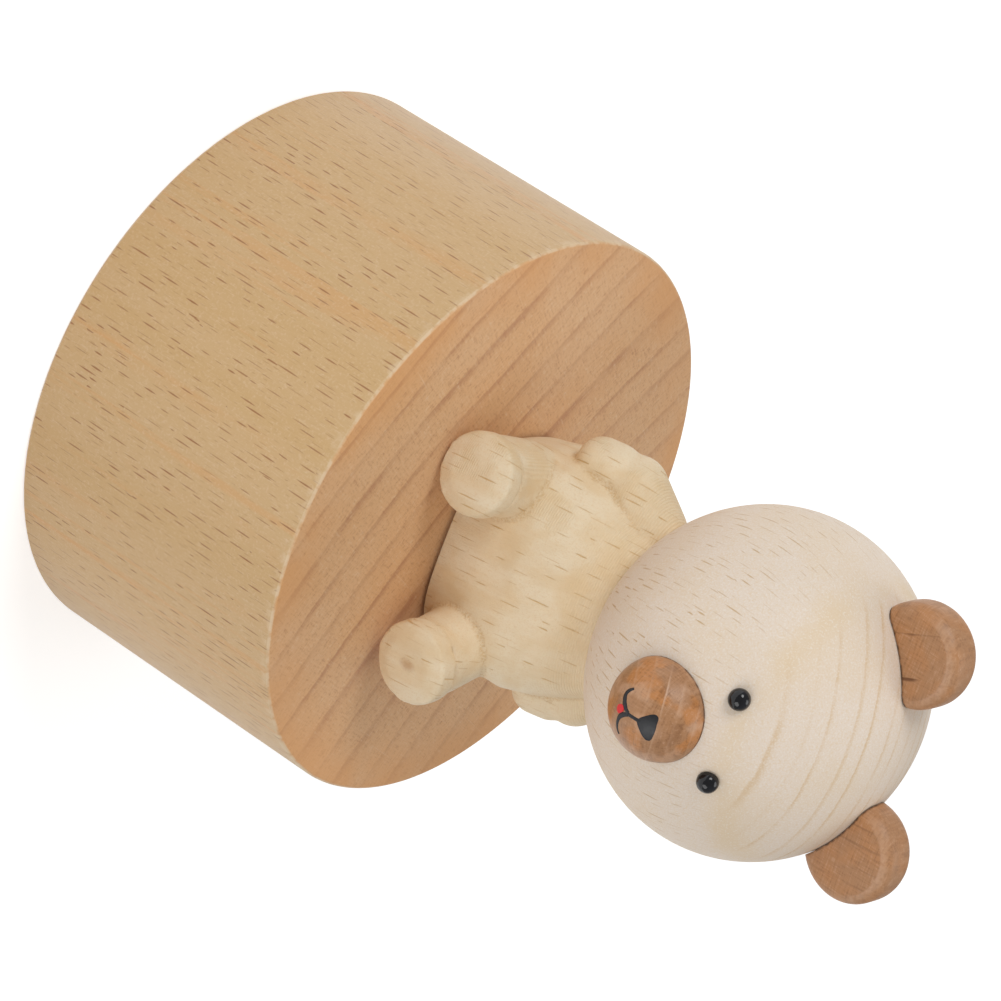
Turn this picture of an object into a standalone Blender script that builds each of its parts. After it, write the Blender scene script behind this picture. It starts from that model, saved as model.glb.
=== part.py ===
"""Wooden music box with a seated bear that turns on the winding arbor of a small spring movement.

The base stands on z = 0 with the arbor on the Z axis. The bear faces -Y. The movement hangs from the
ceiling of the pocket in the base, its drum lying along +X. All lengths are in metres.
"""

from math import atan2, cos, hypot, pi, radians, sin, sqrt, tau

import bmesh
import bpy
from mathutils import Euler, Matrix, Vector

# Gaps between pieces
SEAT_GAP = 0.0003
PRESS_GAP = 0.0001
RUN_GAP = 0.0002
SIDE_PLAY = 0.0005

# Base and its cover
WALL = 0.0051
CEILING = 0.0103
RIM_ROUND = 0.0009
LEDGE = 0.0012
POCKET_CLEARANCE = 0.00105
UNDER_CLEARANCE = 0.0075
COVER_THICKNESS = 0.003
COVER_RECESS = 0.0006
PILLAR_RADIUS = 0.0034
PILLAR_COUNT = 3
PILLAR_START = radians(65)
PILLAR_INSET = 0.0028

# Fasteners: head radius, head height, shank radius, length under the head
WOOD_SCREW = (0.0019, 0.0011, 0.0009, 0.0062)
COVER_SCREW = (0.0021, 0.0012, 0.0010, 0.0085)
SMALL_SCREW = (0.0014, 0.0009, 0.0007, 0.0026)
COMB_SCREW = (0.0015, 0.0010, 0.0008, 0.0045)

# Arbor, spring and drive
ARBOR_RADIUS = 0.0020
THREAD_RADIUS = 0.0015
THREAD_LENGTH = 0.0075
PLATE_THICKNESS = 0.0024
PLATE_EDGE = 0.0016
PLATE_CORNER = 0.0012
MOUNT_PLACE = (0.0095, 0.0135)
CASE_WALL = 0.0008
LUG_RADIUS = 0.0024
LUG_ANGLE = radians(120)
SPRING_TURNS = 5
SPRING_STRIP = 0.0003
CROWN_TEETH = 40
CROWN_THICKNESS = 0.0014
CROWN_CREST = 0.45
PINION_TEETH = 15
PINION_WIDTH = 0.0018
DRIVE_MODULE = 0.0006
RATCHET_RADIUS = 0.0042
RATCHET_TEETH = 10
RATCHET_THICKNESS = 0.0012
PAWL_OUTLINE = (
    (0, 0.0004),
    (0, -0.0006),
    (0.0010, -0.0012),
    (0.0042, -0.0040),
    (0.0048, -0.0028),
    (0.0016, 0.0006),
)

# Drum and comb
TRAIN_MODULE = 0.0004
DRUM_GEAR_TEETH = 36
GEAR_THICKNESS = 0.0012
DRUM_RADIUS = 0.0063
DRUM_SHAFT_RADIUS = 0.0008
PIN_RADIUS = 0.00018
PIN_HEIGHT = 0.0005
PINS_PER_NOTE = 3
NOTES = 18
NOTE_PITCH = 0.00066
NOTE_SLOT = 0.00024
COMB_THICKNESS = 0.0009
COMB_BODY = 0.0048
BASS_TOOTH = 0.0080
TREBLE_TOOTH = 0.0064
COMB_CHAMFER = 0.0034
COMB_SCREW_PLACES = (0.0028, 0.0080)
BEARING_THICKNESS = 0.0007
BEARING_WIDTH = 0.0046
FOOT_LENGTH = 0.0021

# Governor
IDLER_TEETH = 18
GOVERNOR_TEETH = 9
WORM_WHEEL_TEETH = 20
WORM_WHEEL_RADIUS = 0.0040
WORM_RADIUS = 0.0012
WORM_THREAD_RADIUS = 0.00022
WORM_TURNS = 3
WORM_CLEARANCE = 0.00012
FINE_SHAFT_RADIUS = 0.0006
BRACKET_SHEET = 0.0008
BRACKET_ROOM = 0.0050
EAR_REACH = 0.0023
FLY_RADIUS = 0.0027
FLY_HEIGHT = 0.0036
FLY_SHEET = 0.0004

# Bear
BEAR_GAP = 0.0005
BODY_HEIGHT = 0.0250
BODY_HALF_WIDTH = 0.0152
BODY_HALF_DEPTH = 0.0104
BODY_LEAN = 0.0013
BODY_SETBACK = 0.0017
BODY_TURN = radians(-3.5)
ARM_TURN = radians(5.5)
BODY_TILT = radians(-3)
LEG_SHIFT = 0.0006
DISH_DEPTH = 0.0041
FOOT_THICKNESS = 0.0026
FOOT_SPLAY = radians(9)
CARVE_GRAIN = 0.0007
HEAD_RADIUS = 0.0215
HEAD_HALF_HEIGHT = 0.0203
HEAD_SETBACK = 0.0030
DOWEL_RADIUS = 0.0025
DOWEL_DEPTH = 0.0060
INSERT_RADIUS = 0.0027
EAR_RADIUS = 0.0064
EAR_THICKNESS = 0.0064
EAR_PLACE_RATIO = (0.60, 0.13, 0.90)
EAR_SHIFT = 0.0005
MUZZLE_RADIUS = 0.0063
MUZZLE_DEPTH = 0.0014
MUZZLE_RISE = 0.0004
EYE_RADIUS = 0.0014
EYE_PLACE_RATIO = (0.256, 0.433)
EYE_SHIFT = -0.0002

# Torso sections: share of the height, of the half width, of the half depth and of the lean, and squareness
TORSO = (
    (-0.10, 0.83, 0.87, 0.0, 3.2),
    (0.00, 0.88, 0.94, 0.0, 3.2),
    (0.06, 0.92, 0.97, 0.0, 3.2),
    (0.24, 0.985, 1.00, 0.1, 3.2),
    (0.44, 1.00, 0.99, 0.2, 3.2),
    (0.60, 0.935, 0.93, 0.4, 3.2),
    (0.76, 0.83, 0.86, 0.7, 3.1),
    (0.90, 0.73, 0.79, 0.9, 2.9),
    (1.02, 0.61, 0.71, 1.0, 2.6),
)

# Middles of the limbs' round ends: shares of the half width, half depth and height, and the radius as a
# share of the height
SHOULDER = (0.664, 0.346, 0.828, 0.172)
ELBOW = (0.930, 0.365, 0.668, 0.152)
WRIST = (1.000, 0.279, 0.560, 0.124)
HAND = (1.013, 0.231, 0.480, 0.126)
HIP = (0.566, 0.048, 0.240, 0.252)
KNEE = (0.640, -0.452, 0.270, 0.230)
ANKLE = (0.765, -0.904, 0.216, 0.212)
SOLE = (0.830, -1.440, 0.220, 0.214)

# Facets round a circle
ROUND_STEPS = 48
CASE_STEPS = 24
HEAD_STEPS = (28, 16)
SMALL_STEPS = 14
SHAFT_STEPS = 10
SCREW_STEPS = 8

# Gear train sizes
CROWN_RADIUS = CROWN_TEETH * DRIVE_MODULE / 2
PINION_RADIUS = PINION_TEETH * DRIVE_MODULE / 2
DRUM_GEAR_RADIUS = DRUM_GEAR_TEETH * TRAIN_MODULE / 2
IDLER_RADIUS = IDLER_TEETH * TRAIN_MODULE / 2
GOVERNOR_RADIUS = GOVERNOR_TEETH * TRAIN_MODULE / 2
MESH_PLAY = 0.00008
ADDENDUM = 0.9
DEDENDUM = 1.2
TOOTH_WIDTH = 0.42
TOOTH_SLOPE = 0.17
SMALL_TOOTH_WIDTH = 0.40
WORM_TOOTH_WIDTH = 0.30
WORM_LEAD = tau * WORM_WHEEL_RADIUS / WORM_WHEEL_TEETH

# Places along the drum's axis, from the arbor outwards
PINION_X = CROWN_RADIUS - PINION_WIDTH / 2
CASE_RADIUS = PINION_X - SIDE_PLAY - BEARING_THICKNESS - SEAT_GAP
BEARING_IN_X = CASE_RADIUS + SEAT_GAP
DRUM_GEAR_X = PINION_X + PINION_WIDTH + SIDE_PLAY
DRUM_X = DRUM_GEAR_X + GEAR_THICKNESS + SIDE_PLAY
DRUM_LENGTH = (NOTES + 1) * NOTE_PITCH
BEARING_OUT_X = DRUM_X + DRUM_LENGTH + SIDE_PLAY
DRUM_SHAFT_END = BEARING_OUT_X + BEARING_THICKNESS + SEAT_GAP
BRACKET_X = DRUM_GEAR_X + GEAR_THICKNESS + SIDE_PLAY
BRACKET_X_END = BRACKET_X + 2 * BRACKET_SHEET + BRACKET_ROOM
WORM_X = (BRACKET_X + BRACKET_X_END) / 2

# Places across it
PIN_REACH = DRUM_RADIUS + PIN_HEIGHT
IDLER_Y = DRUM_GEAR_RADIUS + IDLER_RADIUS + MESH_PLAY
GOVERNOR_Y = IDLER_Y + IDLER_RADIUS + GOVERNOR_RADIUS + MESH_PLAY
WORM_Y = GOVERNOR_Y + WORM_WHEEL_RADIUS + WORM_RADIUS + WORM_CLEARANCE
BRACKET_Y = GOVERNOR_Y - WORM_WHEEL_RADIUS
BRACKET_Y_END = WORM_Y + 2 * FINE_SHAFT_RADIUS
EAR_SCREW_IN = (BRACKET_X - EAR_REACH - PLATE_EDGE / 2, WORM_Y - PLATE_EDGE)
EAR_SCREW_OUT = (BRACKET_X_END + EAR_REACH, GOVERNOR_Y - PLATE_EDGE / 2)
TIP_Y = -(PIN_REACH + RUN_GAP)
COMB_BACK_Y = TIP_Y - BASS_TOOTH - COMB_BODY
COMB_X = DRUM_X
COMB_X_END = DRUM_X + DRUM_LENGTH
COMB_SCREWS = tuple((COMB_X + along, COMB_BACK_Y + COMB_BODY / 2) for along in COMB_SCREW_PLACES)
MOUNT_SCREWS = (
    (-MOUNT_PLACE[0], MOUNT_PLACE[1]),
    (-MOUNT_PLACE[0], -MOUNT_PLACE[1]),
    (BEARING_OUT_X - SIDE_PLAY, IDLER_Y - SIDE_PLAY),
)

# Pocket and base, built round the movement
MOVEMENT_REACH = max(
    hypot(BRACKET_X_END, BRACKET_Y_END),
    hypot(BEARING_OUT_X + BEARING_THICKNESS + FOOT_LENGTH, BEARING_WIDTH / 2),
    hypot(COMB_X_END, TIP_Y - TREBLE_TOOTH - COMB_BODY + COMB_CHAMFER),
    hypot(COMB_X_END - COMB_CHAMFER, COMB_BACK_Y),
    hypot(WORM_X, WORM_Y) + FLY_RADIUS,
)
POCKET_RADIUS = MOVEMENT_REACH + POCKET_CLEARANCE
BASE_RADIUS = POCKET_RADIUS + WALL
PILLAR_REACH = POCKET_RADIUS - PILLAR_INSET
REBATE_RADIUS = POCKET_RADIUS + LEDGE

# Heights, counted down from the bedplate's lower face and then set on the base
DRUM_DROP = (DRUM_GEAR_TEETH / 2 + ADDENDUM) * TRAIN_MODULE + SEAT_GAP
CROWN_DROP = DRUM_DROP + PINION_RADIUS + DEDENDUM * DRIVE_MODULE + MESH_PLAY
RATCHET_DROP = CROWN_DROP + CROWN_THICKNESS + SEAT_GAP
ARBOR_DROP = RATCHET_DROP + RATCHET_THICKNESS + 2 * CASE_WALL + SEAT_GAP
COVER_TOP = COVER_RECESS + COVER_THICKNESS
COVER_SCREW_Z = COVER_RECESS + COVER_SCREW[1] + SEAT_GAP
PLATE_BOTTOM = COVER_TOP + UNDER_CLEARANCE + ARBOR_DROP
PLATE_TOP = PLATE_BOTTOM + PLATE_THICKNESS
CEILING_Z = PLATE_TOP + SEAT_GAP
BASE_HEIGHT = CEILING_Z + CEILING
DRUM_Z = PLATE_BOTTOM - DRUM_DROP
CROWN_TOP = PLATE_BOTTOM - CROWN_DROP
COMB_Z = DRUM_Z - COMB_THICKNESS / 2
CASE_BOTTOM = CROWN_TOP + 2 * SEAT_GAP
CASE_TOP = PLATE_BOTTOM - PRESS_GAP
BRACKET_TOP = PLATE_BOTTOM - PRESS_GAP
BRACKET_BOTTOM = DRUM_Z - WORM_WHEEL_RADIUS - 2 * BRACKET_SHEET
WORM_END = BRACKET_BOTTOM - FLY_HEIGHT - 3 * SEAT_GAP

BUSH_FLANGE = 0.0010
BUSH_FLANGE_RADIUS = 0.0046
BUSH_RADIUS = 0.0030
BORE_RADIUS = ARBOR_RADIUS + SEAT_GAP
BEAR_Z = BASE_HEIGHT + BEAR_GAP
HEAD_LOW = BEAR_Z + BODY_HEIGHT - DISH_DEPTH
HEAD_Z = HEAD_LOW + HEAD_HALF_HEIGHT
BODY_SHIFT = (HEAD_Z - BEAR_Z) * sin(-BODY_TILT)

# Looks: base colour, roughness, metallic
BEECH = ((0.56, 0.37, 0.20), 0.55, 0.0)
MAPLE = ((0.66, 0.50, 0.33), 0.50, 0.0)
HEAD_MAPLE = ((0.71, 0.58, 0.42), 0.50, 0.0)
STAINED = ((0.34, 0.17, 0.08), 0.45, 0.0)
BLACK = ((0.01, 0.01, 0.012), 0.15, 0.0)
STEEL = ((0.55, 0.56, 0.58), 0.30, 1.0)
BLUED = ((0.20, 0.22, 0.26), 0.30, 1.0)
BRASS = ((0.75, 0.55, 0.24), 0.30, 1.0)
CAST = ((0.38, 0.36, 0.33), 0.50, 1.0)
NYLON = ((0.80, 0.79, 0.74), 0.45, 0.0)

for old in list(bpy.data.objects):
    bpy.data.objects.remove(old, do_unlink=True)
PARTS = bpy.data.collections.new("music_box")
CUTTERS = bpy.data.collections.new("cutters")
bpy.context.scene.collection.children.link(PARTS)
bpy.context.scene.collection.children.link(CUTTERS)


def axis_empty(name, place, turn=None):
    """An empty on a joint's axis; its own Z is the axis."""
    empty = bpy.data.objects.new(name, None)
    empty.empty_display_size = 2 * ARBOR_RADIUS
    empty.matrix_world = Matrix.Translation(place) @ (turn or Matrix.Identity(4))
    PARTS.objects.link(empty)
    return empty


# Turns local X, Y, Z to world Y, Z, X, for the shafts that lie along X
ALONG_X = Matrix(((0, 0, 1, 0), (1, 0, 0, 0), (0, 1, 0, 0), (0, 0, 0, 1)))
FIGURE_AXIS = axis_empty("figure_axis", (0, 0, 0))
DRIVE_AXIS = axis_empty("drive_axis", (0, 0, 0))
DRUM_AXIS = axis_empty("drum_axis", (0, 0, DRUM_Z), ALONG_X)
IDLER_AXIS = axis_empty("idler_axis", (0, IDLER_Y, DRUM_Z), ALONG_X)
GOVERNOR_AXIS = axis_empty("governor_axis", (0, GOVERNOR_Y, DRUM_Z), ALONG_X)
FLY_AXIS = axis_empty("fly_axis", (WORM_X, WORM_Y, 0))


def finish(obj, look, parent=None):
    """Gives a part its own material and hangs it on its axis."""
    colour, roughness, metallic = look
    material = bpy.data.materials.new(obj.name)
    material.use_nodes = True
    shader = material.node_tree.nodes["Principled BSDF"]
    shader.inputs["Base Color"].default_value = (*colour, 1.0)
    shader.inputs["Roughness"].default_value = roughness
    shader.inputs["Metallic"].default_value = metallic
    obj.data.materials.clear()
    obj.data.materials.append(material)
    if parent:
        obj.parent = parent
    return obj


def link(name, data, cutter=False):
    obj = bpy.data.objects.new(name, data)
    (CUTTERS if cutter else PARTS).objects.link(obj)
    if cutter:
        obj.hide_render = True
        obj.display_type = "WIRE"
    return obj


def from_bmesh(name, bm, cutter=False, smooth=True):
    mesh = bpy.data.meshes.new(name)
    bm.to_mesh(mesh)
    bm.free()
    if smooth:
        mesh.shade_smooth()
        mesh.set_sharp_from_angle(angle=radians(35))
    return link(name, mesh, cutter)


def turned(name, profile, steps=SMALL_STEPS, cutter=False):
    """Turns a profile of (radius, height) about Z. It runs down the outside; off the axis it is a ring."""
    mesh = bpy.data.meshes.new(name)
    count = len(profile)
    ring = min(radius for radius, _ in profile) > 0
    edges = [(i, (i + 1) % count) for i in range(count if ring else count - 1)]
    mesh.from_pydata([(radius, 0, height) for radius, height in profile], edges, [])
    obj = link(name, mesh, cutter)
    screw = obj.modifiers.new("Turn", "SCREW")
    screw.steps = steps
    screw.render_steps = steps
    screw.use_merge_vertices = True
    screw.merge_threshold = 0.00001
    screw.use_smooth_shade = True
    return obj


def arc(centre, radius, start, end, steps):
    """Points of an arc in the plane, from one angle to another."""
    return [
        (centre[0] + radius * cos(start + (end - start) * i / steps),
         centre[1] + radius * sin(start + (end - start) * i / steps))
        for i in range(steps + 1)
    ]


def circle(centre, radius, steps=SMALL_STEPS):
    return arc(centre, radius, 0, tau, steps)[:-1]


def rounded(corners, radius, steps=3):
    """A closed outline with each corner of a convex polygon replaced by an arc."""
    points = []
    count = len(corners)
    for i, corner in enumerate(corners):
        here = Vector(corner)
        before = (Vector(corners[i - 1]) - here).normalized()
        after = (Vector(corners[(i + 1) % count]) - here).normalized()
        half = before.angle(after) / 2
        centre = here + (before + after).normalized() * radius / sin(half)
        first = here + before * radius / (sin(half) / cos(half)) - centre
        last = here + after * radius / (sin(half) / cos(half)) - centre
        start = atan2(first.y, first.x)
        sweep = atan2(last.y, last.x) - start
        sweep = (sweep + pi) % tau - pi
        points += arc(centre, radius, start, start + sweep, steps)
    return points


def plate(name, loops, low, high, parent=None, cutter=False):
    """A flat piece cut to an outline; every loop after the first is a hole."""
    curve = bpy.data.curves.new(name, "CURVE")
    curve.dimensions = "2D"
    curve.fill_mode = "BOTH"
    curve.extrude = (high - low) / 2
    for loop in loops:
        spline = curve.splines.new("POLY")
        spline.points.add(len(loop) - 1)
        for point, (x, y) in zip(spline.points, loop):
            point.co = (x, y, 0, 1)
        spline.use_cyclic_u = True
    obj = link(name, curve, cutter)
    obj.location = (0, 0, (low + high) / 2)
    obj.parent = parent
    return obj


def as_mesh(obj, cutter=False):
    """Changes a curve object into a mesh one in its place, with its caps welded."""
    bpy.context.view_layer.update()
    name = obj.name
    evaluated = obj.evaluated_get(bpy.context.evaluated_depsgraph_get())
    mesh = bpy.data.meshes.new_from_object(evaluated)
    place = obj.matrix_world.copy()
    parent = obj.parent
    bpy.data.objects.remove(obj, do_unlink=True)
    bm = bmesh.new()
    bm.from_mesh(mesh)
    bmesh.ops.remove_doubles(bm, verts=bm.verts, dist=0.000002)
    bmesh.ops.recalc_face_normals(bm, faces=bm.faces)
    bm.to_mesh(mesh)
    bm.free()
    new = link(name, mesh, cutter)
    new.parent = parent
    new.matrix_world = place
    return new


def cylinder(name, radius, low, high, centre=(0, 0), steps=SMALL_STEPS, cutter=True):
    bm = bmesh.new()
    place = Matrix.Translation((centre[0], centre[1], (low + high) / 2))
    bmesh.ops.create_cone(
        bm, cap_ends=True, segments=steps, radius1=radius, radius2=radius, depth=high - low, matrix=place
    )
    return from_bmesh(name, bm, cutter)


def box(name, low, high, cutter=True):
    bm = bmesh.new()
    size = Vector(high) - Vector(low)
    middle = (Vector(high) + Vector(low)) / 2
    bmesh.ops.create_cube(bm, size=1, matrix=Matrix.Translation(middle) @ Matrix.Diagonal((*size, 1)))
    return from_bmesh(name, bm, cutter, smooth=False)


def boolean(obj, other, operation="DIFFERENCE"):
    cut = obj.modifiers.new(other.name, "BOOLEAN")
    cut.operation = operation
    cut.solver = "EXACT"
    cut.object = other


def gear_outline(teeth, module, phase=0.0, width=TOOTH_WIDTH):
    """Trapezoid teeth, one tooth's middle at the phase angle. Width is the tooth's share of the pitch."""
    pitch = tau / teeth
    root = (teeth / 2 - DEDENDUM) * module
    tip = (teeth / 2 + ADDENDUM) * module
    points = []
    for i in range(teeth):
        middle = phase + i * pitch
        foot = pitch * (width + TOOTH_SLOPE) / 2
        crest = pitch * (width - TOOTH_SLOPE) / 2
        for radius, angle in ((root, -foot), (tip, -crest), (tip, crest), (root, foot)):
            points.append((radius * cos(middle + angle), radius * sin(middle + angle)))
    return points


def screw(name, place, kind, look=STEEL):
    """A screw driven upwards, its head's upper face at the place."""
    head, height, shank, length = kind
    profile = [
        (0, length),
        (shank, length - shank),
        (shank, 0),
        (head, 0),
        (head - height / 5, -height),
        (0, -height),
    ]
    obj = turned(name, profile, SCREW_STEPS)
    obj.location = place
    return finish(obj, look)


def base():
    """The turned beech drum, bored from below, with three pillars for the cover's screws."""
    bore = BUSH_RADIUS + PRESS_GAP
    sink = BUSH_FLANGE_RADIUS + PRESS_GAP
    profile = [(sink, BASE_HEIGHT)]
    profile += arc((BASE_RADIUS - RIM_ROUND, BASE_HEIGHT - RIM_ROUND), RIM_ROUND, pi / 2, 0, 3)
    profile += arc((BASE_RADIUS - RIM_ROUND, RIM_ROUND), RIM_ROUND, 0, -pi / 2, 2)
    profile += [
        (REBATE_RADIUS, 0),
        (REBATE_RADIUS, COVER_TOP + SEAT_GAP),
        (POCKET_RADIUS, COVER_TOP + SEAT_GAP),
        (POCKET_RADIUS, CEILING_Z),
        (bore, CEILING_Z),
        (bore, BASE_HEIGHT - BUSH_FLANGE),
        (sink, BASE_HEIGHT - BUSH_FLANGE),
    ]
    obj = turned("base_shell", profile, ROUND_STEPS)
    for i, (x, y) in enumerate(pillar_places()):
        foot = COVER_TOP + SEAT_GAP + PRESS_GAP
        post = cylinder(f"pillar_{i + 1}", PILLAR_RADIUS, foot, CEILING_Z + CEILING / 8, (x, y))
        boolean(obj, post, "UNION")
    for i, (x, y) in enumerate(pillar_places()):
        depth = COVER_SCREW_Z + COVER_SCREW[3] + SEAT_GAP
        pilot = cylinder(f"cover_pilot_{i + 1}", COVER_SCREW[2] + PRESS_GAP, 0, depth, (x, y), SCREW_STEPS)
        boolean(obj, pilot)
    for i, place in enumerate(MOUNT_SCREWS):
        top = PLATE_BOTTOM + WOOD_SCREW[3] + SEAT_GAP
        across = WOOD_SCREW[2] + PRESS_GAP
        pilot = cylinder(f"plate_pilot_{i + 1}", across, PLATE_TOP, top, place, SCREW_STEPS)
        boolean(obj, pilot)
    finish(obj, BEECH)


def pillar_places():
    return [
        (PILLAR_REACH * cos(angle), PILLAR_REACH * sin(angle))
        for angle in (PILLAR_START + tau * i / PILLAR_COUNT for i in range(PILLAR_COUNT))
    ]


def cover():
    """The disc that closes the pocket, with sunk screws."""
    rim = REBATE_RADIUS - SEAT_GAP
    bevel = COVER_RECESS
    profile = [
        (0, COVER_TOP),
        (rim, COVER_TOP),
        (rim, COVER_RECESS + bevel),
        (rim - bevel, COVER_RECESS),
        (0, COVER_RECESS),
    ]
    obj = turned("bottom_cover", profile, ROUND_STEPS)
    head, _, shank, _ = COVER_SCREW
    sink = COVER_SCREW_Z + PRESS_GAP
    for i, (x, y) in enumerate(pillar_places()):
        hole = turned(
            f"cover_hole_{i + 1}",
            [
                (0, COVER_TOP + SEAT_GAP),
                (shank + RUN_GAP, COVER_TOP + SEAT_GAP),
                (shank + RUN_GAP, sink),
                (head + SEAT_GAP, sink),
                (head + SEAT_GAP, 0),
                (0, 0),
            ],
            cutter=True,
        )
        hole.location = (x, y, 0)
        boolean(obj, hole)
        screw(f"cover_screw_{i + 1}", (x, y, COVER_SCREW_Z), COVER_SCREW)
    finish(obj, BEECH)


def bedplate():
    """The cast plate that carries the movement, with the raised seat for the comb."""
    rim = MOVEMENT_REACH
    lug = WOOD_SCREW[0] + PLATE_EDGE
    corners = [
        (MOUNT_SCREWS[0][0] - lug, MOUNT_SCREWS[0][1] + SIDE_PLAY),
        (MOUNT_SCREWS[1][0] - lug, MOUNT_SCREWS[1][1] - SIDE_PLAY),
        (MOUNT_SCREWS[1][0] + lug / 2, COMB_BACK_Y),
        (sqrt(rim**2 - COMB_BACK_Y**2), COMB_BACK_Y),
        (sqrt(rim**2 - TIP_Y**2), TIP_Y),
        (sqrt(rim**2 - TIP_Y**2), -TIP_Y),
        (sqrt(rim**2 - GOVERNOR_Y**2), GOVERNOR_Y),
        (sqrt(rim**2 - BRACKET_Y_END**2), BRACKET_Y_END),
        (MOUNT_SCREWS[0][0] + lug / 2, BRACKET_Y_END),
    ]
    holes = [circle((0, 0), BORE_RADIUS)]
    holes += [circle(place, WOOD_SCREW[2] + RUN_GAP, SCREW_STEPS) for place in MOUNT_SCREWS]
    small = SMALL_SCREW[2] + PRESS_GAP
    holes += [circle(place, small, SCREW_STEPS) for place in (*lug_places(), EAR_SCREW_IN, EAR_SCREW_OUT)]
    obj = as_mesh(plate("bedplate", [rounded(corners, PLATE_CORNER), *holes], PLATE_BOTTOM, PLATE_TOP))
    top = COMB_Z + COMB_THICKNESS + PRESS_GAP
    seat = plate("comb_seat", [comb_seat_outline()], top, PLATE_BOTTOM + PLATE_THICKNESS / 4, cutter=True)
    seat = as_mesh(seat, cutter=True)
    boolean(obj, seat, "UNION")
    for i, place in enumerate(COMB_SCREWS):
        high = COMB_Z + COMB_SCREW[3] + SEAT_GAP
        across = COMB_SCREW[2] + PRESS_GAP
        tap = cylinder(f"comb_tap_{i + 1}", across, top - SEAT_GAP, high, place, SCREW_STEPS)
        boolean(obj, tap)
    finish(obj, CAST)
    for i, (x, y) in enumerate(MOUNT_SCREWS):
        screw(f"bedplate_screw_{i + 1}", (x, y, PLATE_BOTTOM - PRESS_GAP), WOOD_SCREW)


def comb_seat_outline():
    """The part of the comb behind its teeth, which lies on the bedplate's seat."""
    bass = TIP_Y - BASS_TOOTH - NOTE_PITCH
    treble = TIP_Y - TREBLE_TOOTH - NOTE_PITCH
    return [
        (COMB_X, bass),
        (COMB_X, COMB_BACK_Y),
        (COMB_X_END - COMB_CHAMFER, COMB_BACK_Y),
        (COMB_X_END, treble - COMB_BODY + COMB_CHAMFER),
        (COMB_X_END, treble),
    ]


def comb():
    """The steel comb: long bass teeth by the spring, short treble teeth outside, cut as one outline."""
    points = comb_seat_outline()[1:4]
    for i in reversed(range(NOTES)):
        middle = DRUM_X + (i + 1) * NOTE_PITCH
        half = (NOTE_PITCH - NOTE_SLOT) / 2
        root = TIP_Y - BASS_TOOTH + (BASS_TOOTH - TREBLE_TOOTH) * i / (NOTES - 1)
        outer = COMB_X_END if i == NOTES - 1 else middle + half
        inner = COMB_X if i == 0 else middle - half
        points += [(outer, root), (middle + half, root)] if i == NOTES - 1 else [(outer, root)]
        points += [(middle + half, TIP_Y), (middle - half, TIP_Y)]
        points += [(middle - half, root), (inner, root)] if i == 0 else [(inner, root)]
    holes = [circle(place, COMB_SCREW[2] + RUN_GAP, SCREW_STEPS) for place in COMB_SCREWS]
    finish(plate("comb", [points, *holes], COMB_Z, COMB_Z + COMB_THICKNESS), STEEL)
    for i, (x, y) in enumerate(COMB_SCREWS):
        screw(f"comb_screw_{i + 1}", (x, y, COMB_Z - PRESS_GAP), COMB_SCREW)


def lug_places():
    reach = CASE_RADIUS + LUG_RADIUS * 0.75
    return [(reach * cos(a), reach * sin(a)) for a in (LUG_ANGLE, -LUG_ANGLE)]


def spring_case():
    """The drawn cup that holds the mainspring, its two lugs under the bedplate."""
    inner = CASE_RADIUS - CASE_WALL
    roof = CASE_TOP - CASE_WALL
    profile = [
        (BORE_RADIUS, CASE_TOP),
        (CASE_RADIUS, CASE_TOP),
        (CASE_RADIUS, CASE_BOTTOM),
        (inner, CASE_BOTTOM),
        (inner, roof),
        (BORE_RADIUS, roof),
    ]
    obj = turned("spring_case", profile, CASE_STEPS)
    overlap = PRESS_GAP / 2
    for i, (x, y) in enumerate(lug_places()):
        lug = cylinder(f"case_lug_{i + 1}", LUG_RADIUS, roof - overlap, CASE_TOP + overlap, (x, y))
        boolean(obj, lug, "UNION")
        across = SMALL_SCREW[2] + PRESS_GAP
        high = CASE_TOP + SEAT_GAP
        hole = cylinder(f"case_hole_{i + 1}", across, roof - SEAT_GAP, high, (x, y), SCREW_STEPS)
        boolean(obj, hole)
        screw(f"case_screw_{i + 1}", (x, y, roof - overlap - PRESS_GAP), SMALL_SCREW)
    finish(obj, STEEL)
    lid = inner - PRESS_GAP
    low = CASE_BOTTOM + PRESS_GAP
    high = low + CASE_WALL
    lid_profile = [(BORE_RADIUS, high), (lid, high), (lid, low), (BORE_RADIUS, low)]
    finish(turned("spring_case_cover", lid_profile, CASE_STEPS), STEEL)
    mainspring(inner - PRESS_GAP, high + SEAT_GAP, roof - SEAT_GAP)


def mainspring(outer, low, high):
    """A flat strip wound in a steady spiral between the arbor and the case."""
    inner = ARBOR_RADIUS + SEAT_GAP
    steps = SPRING_TURNS * SMALL_STEPS
    rise = (outer - SPRING_STRIP - inner) / steps
    inside = []
    outside = []
    for i in range(steps + 1):
        angle = tau * i / SMALL_STEPS
        radius = inner + rise * i
        inside.append((radius * cos(angle), radius * sin(angle)))
        outside.append(((radius + SPRING_STRIP) * cos(angle), (radius + SPRING_STRIP) * sin(angle)))
    finish(plate("mainspring", [inside + outside[::-1]], low, high), BLUED)


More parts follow.
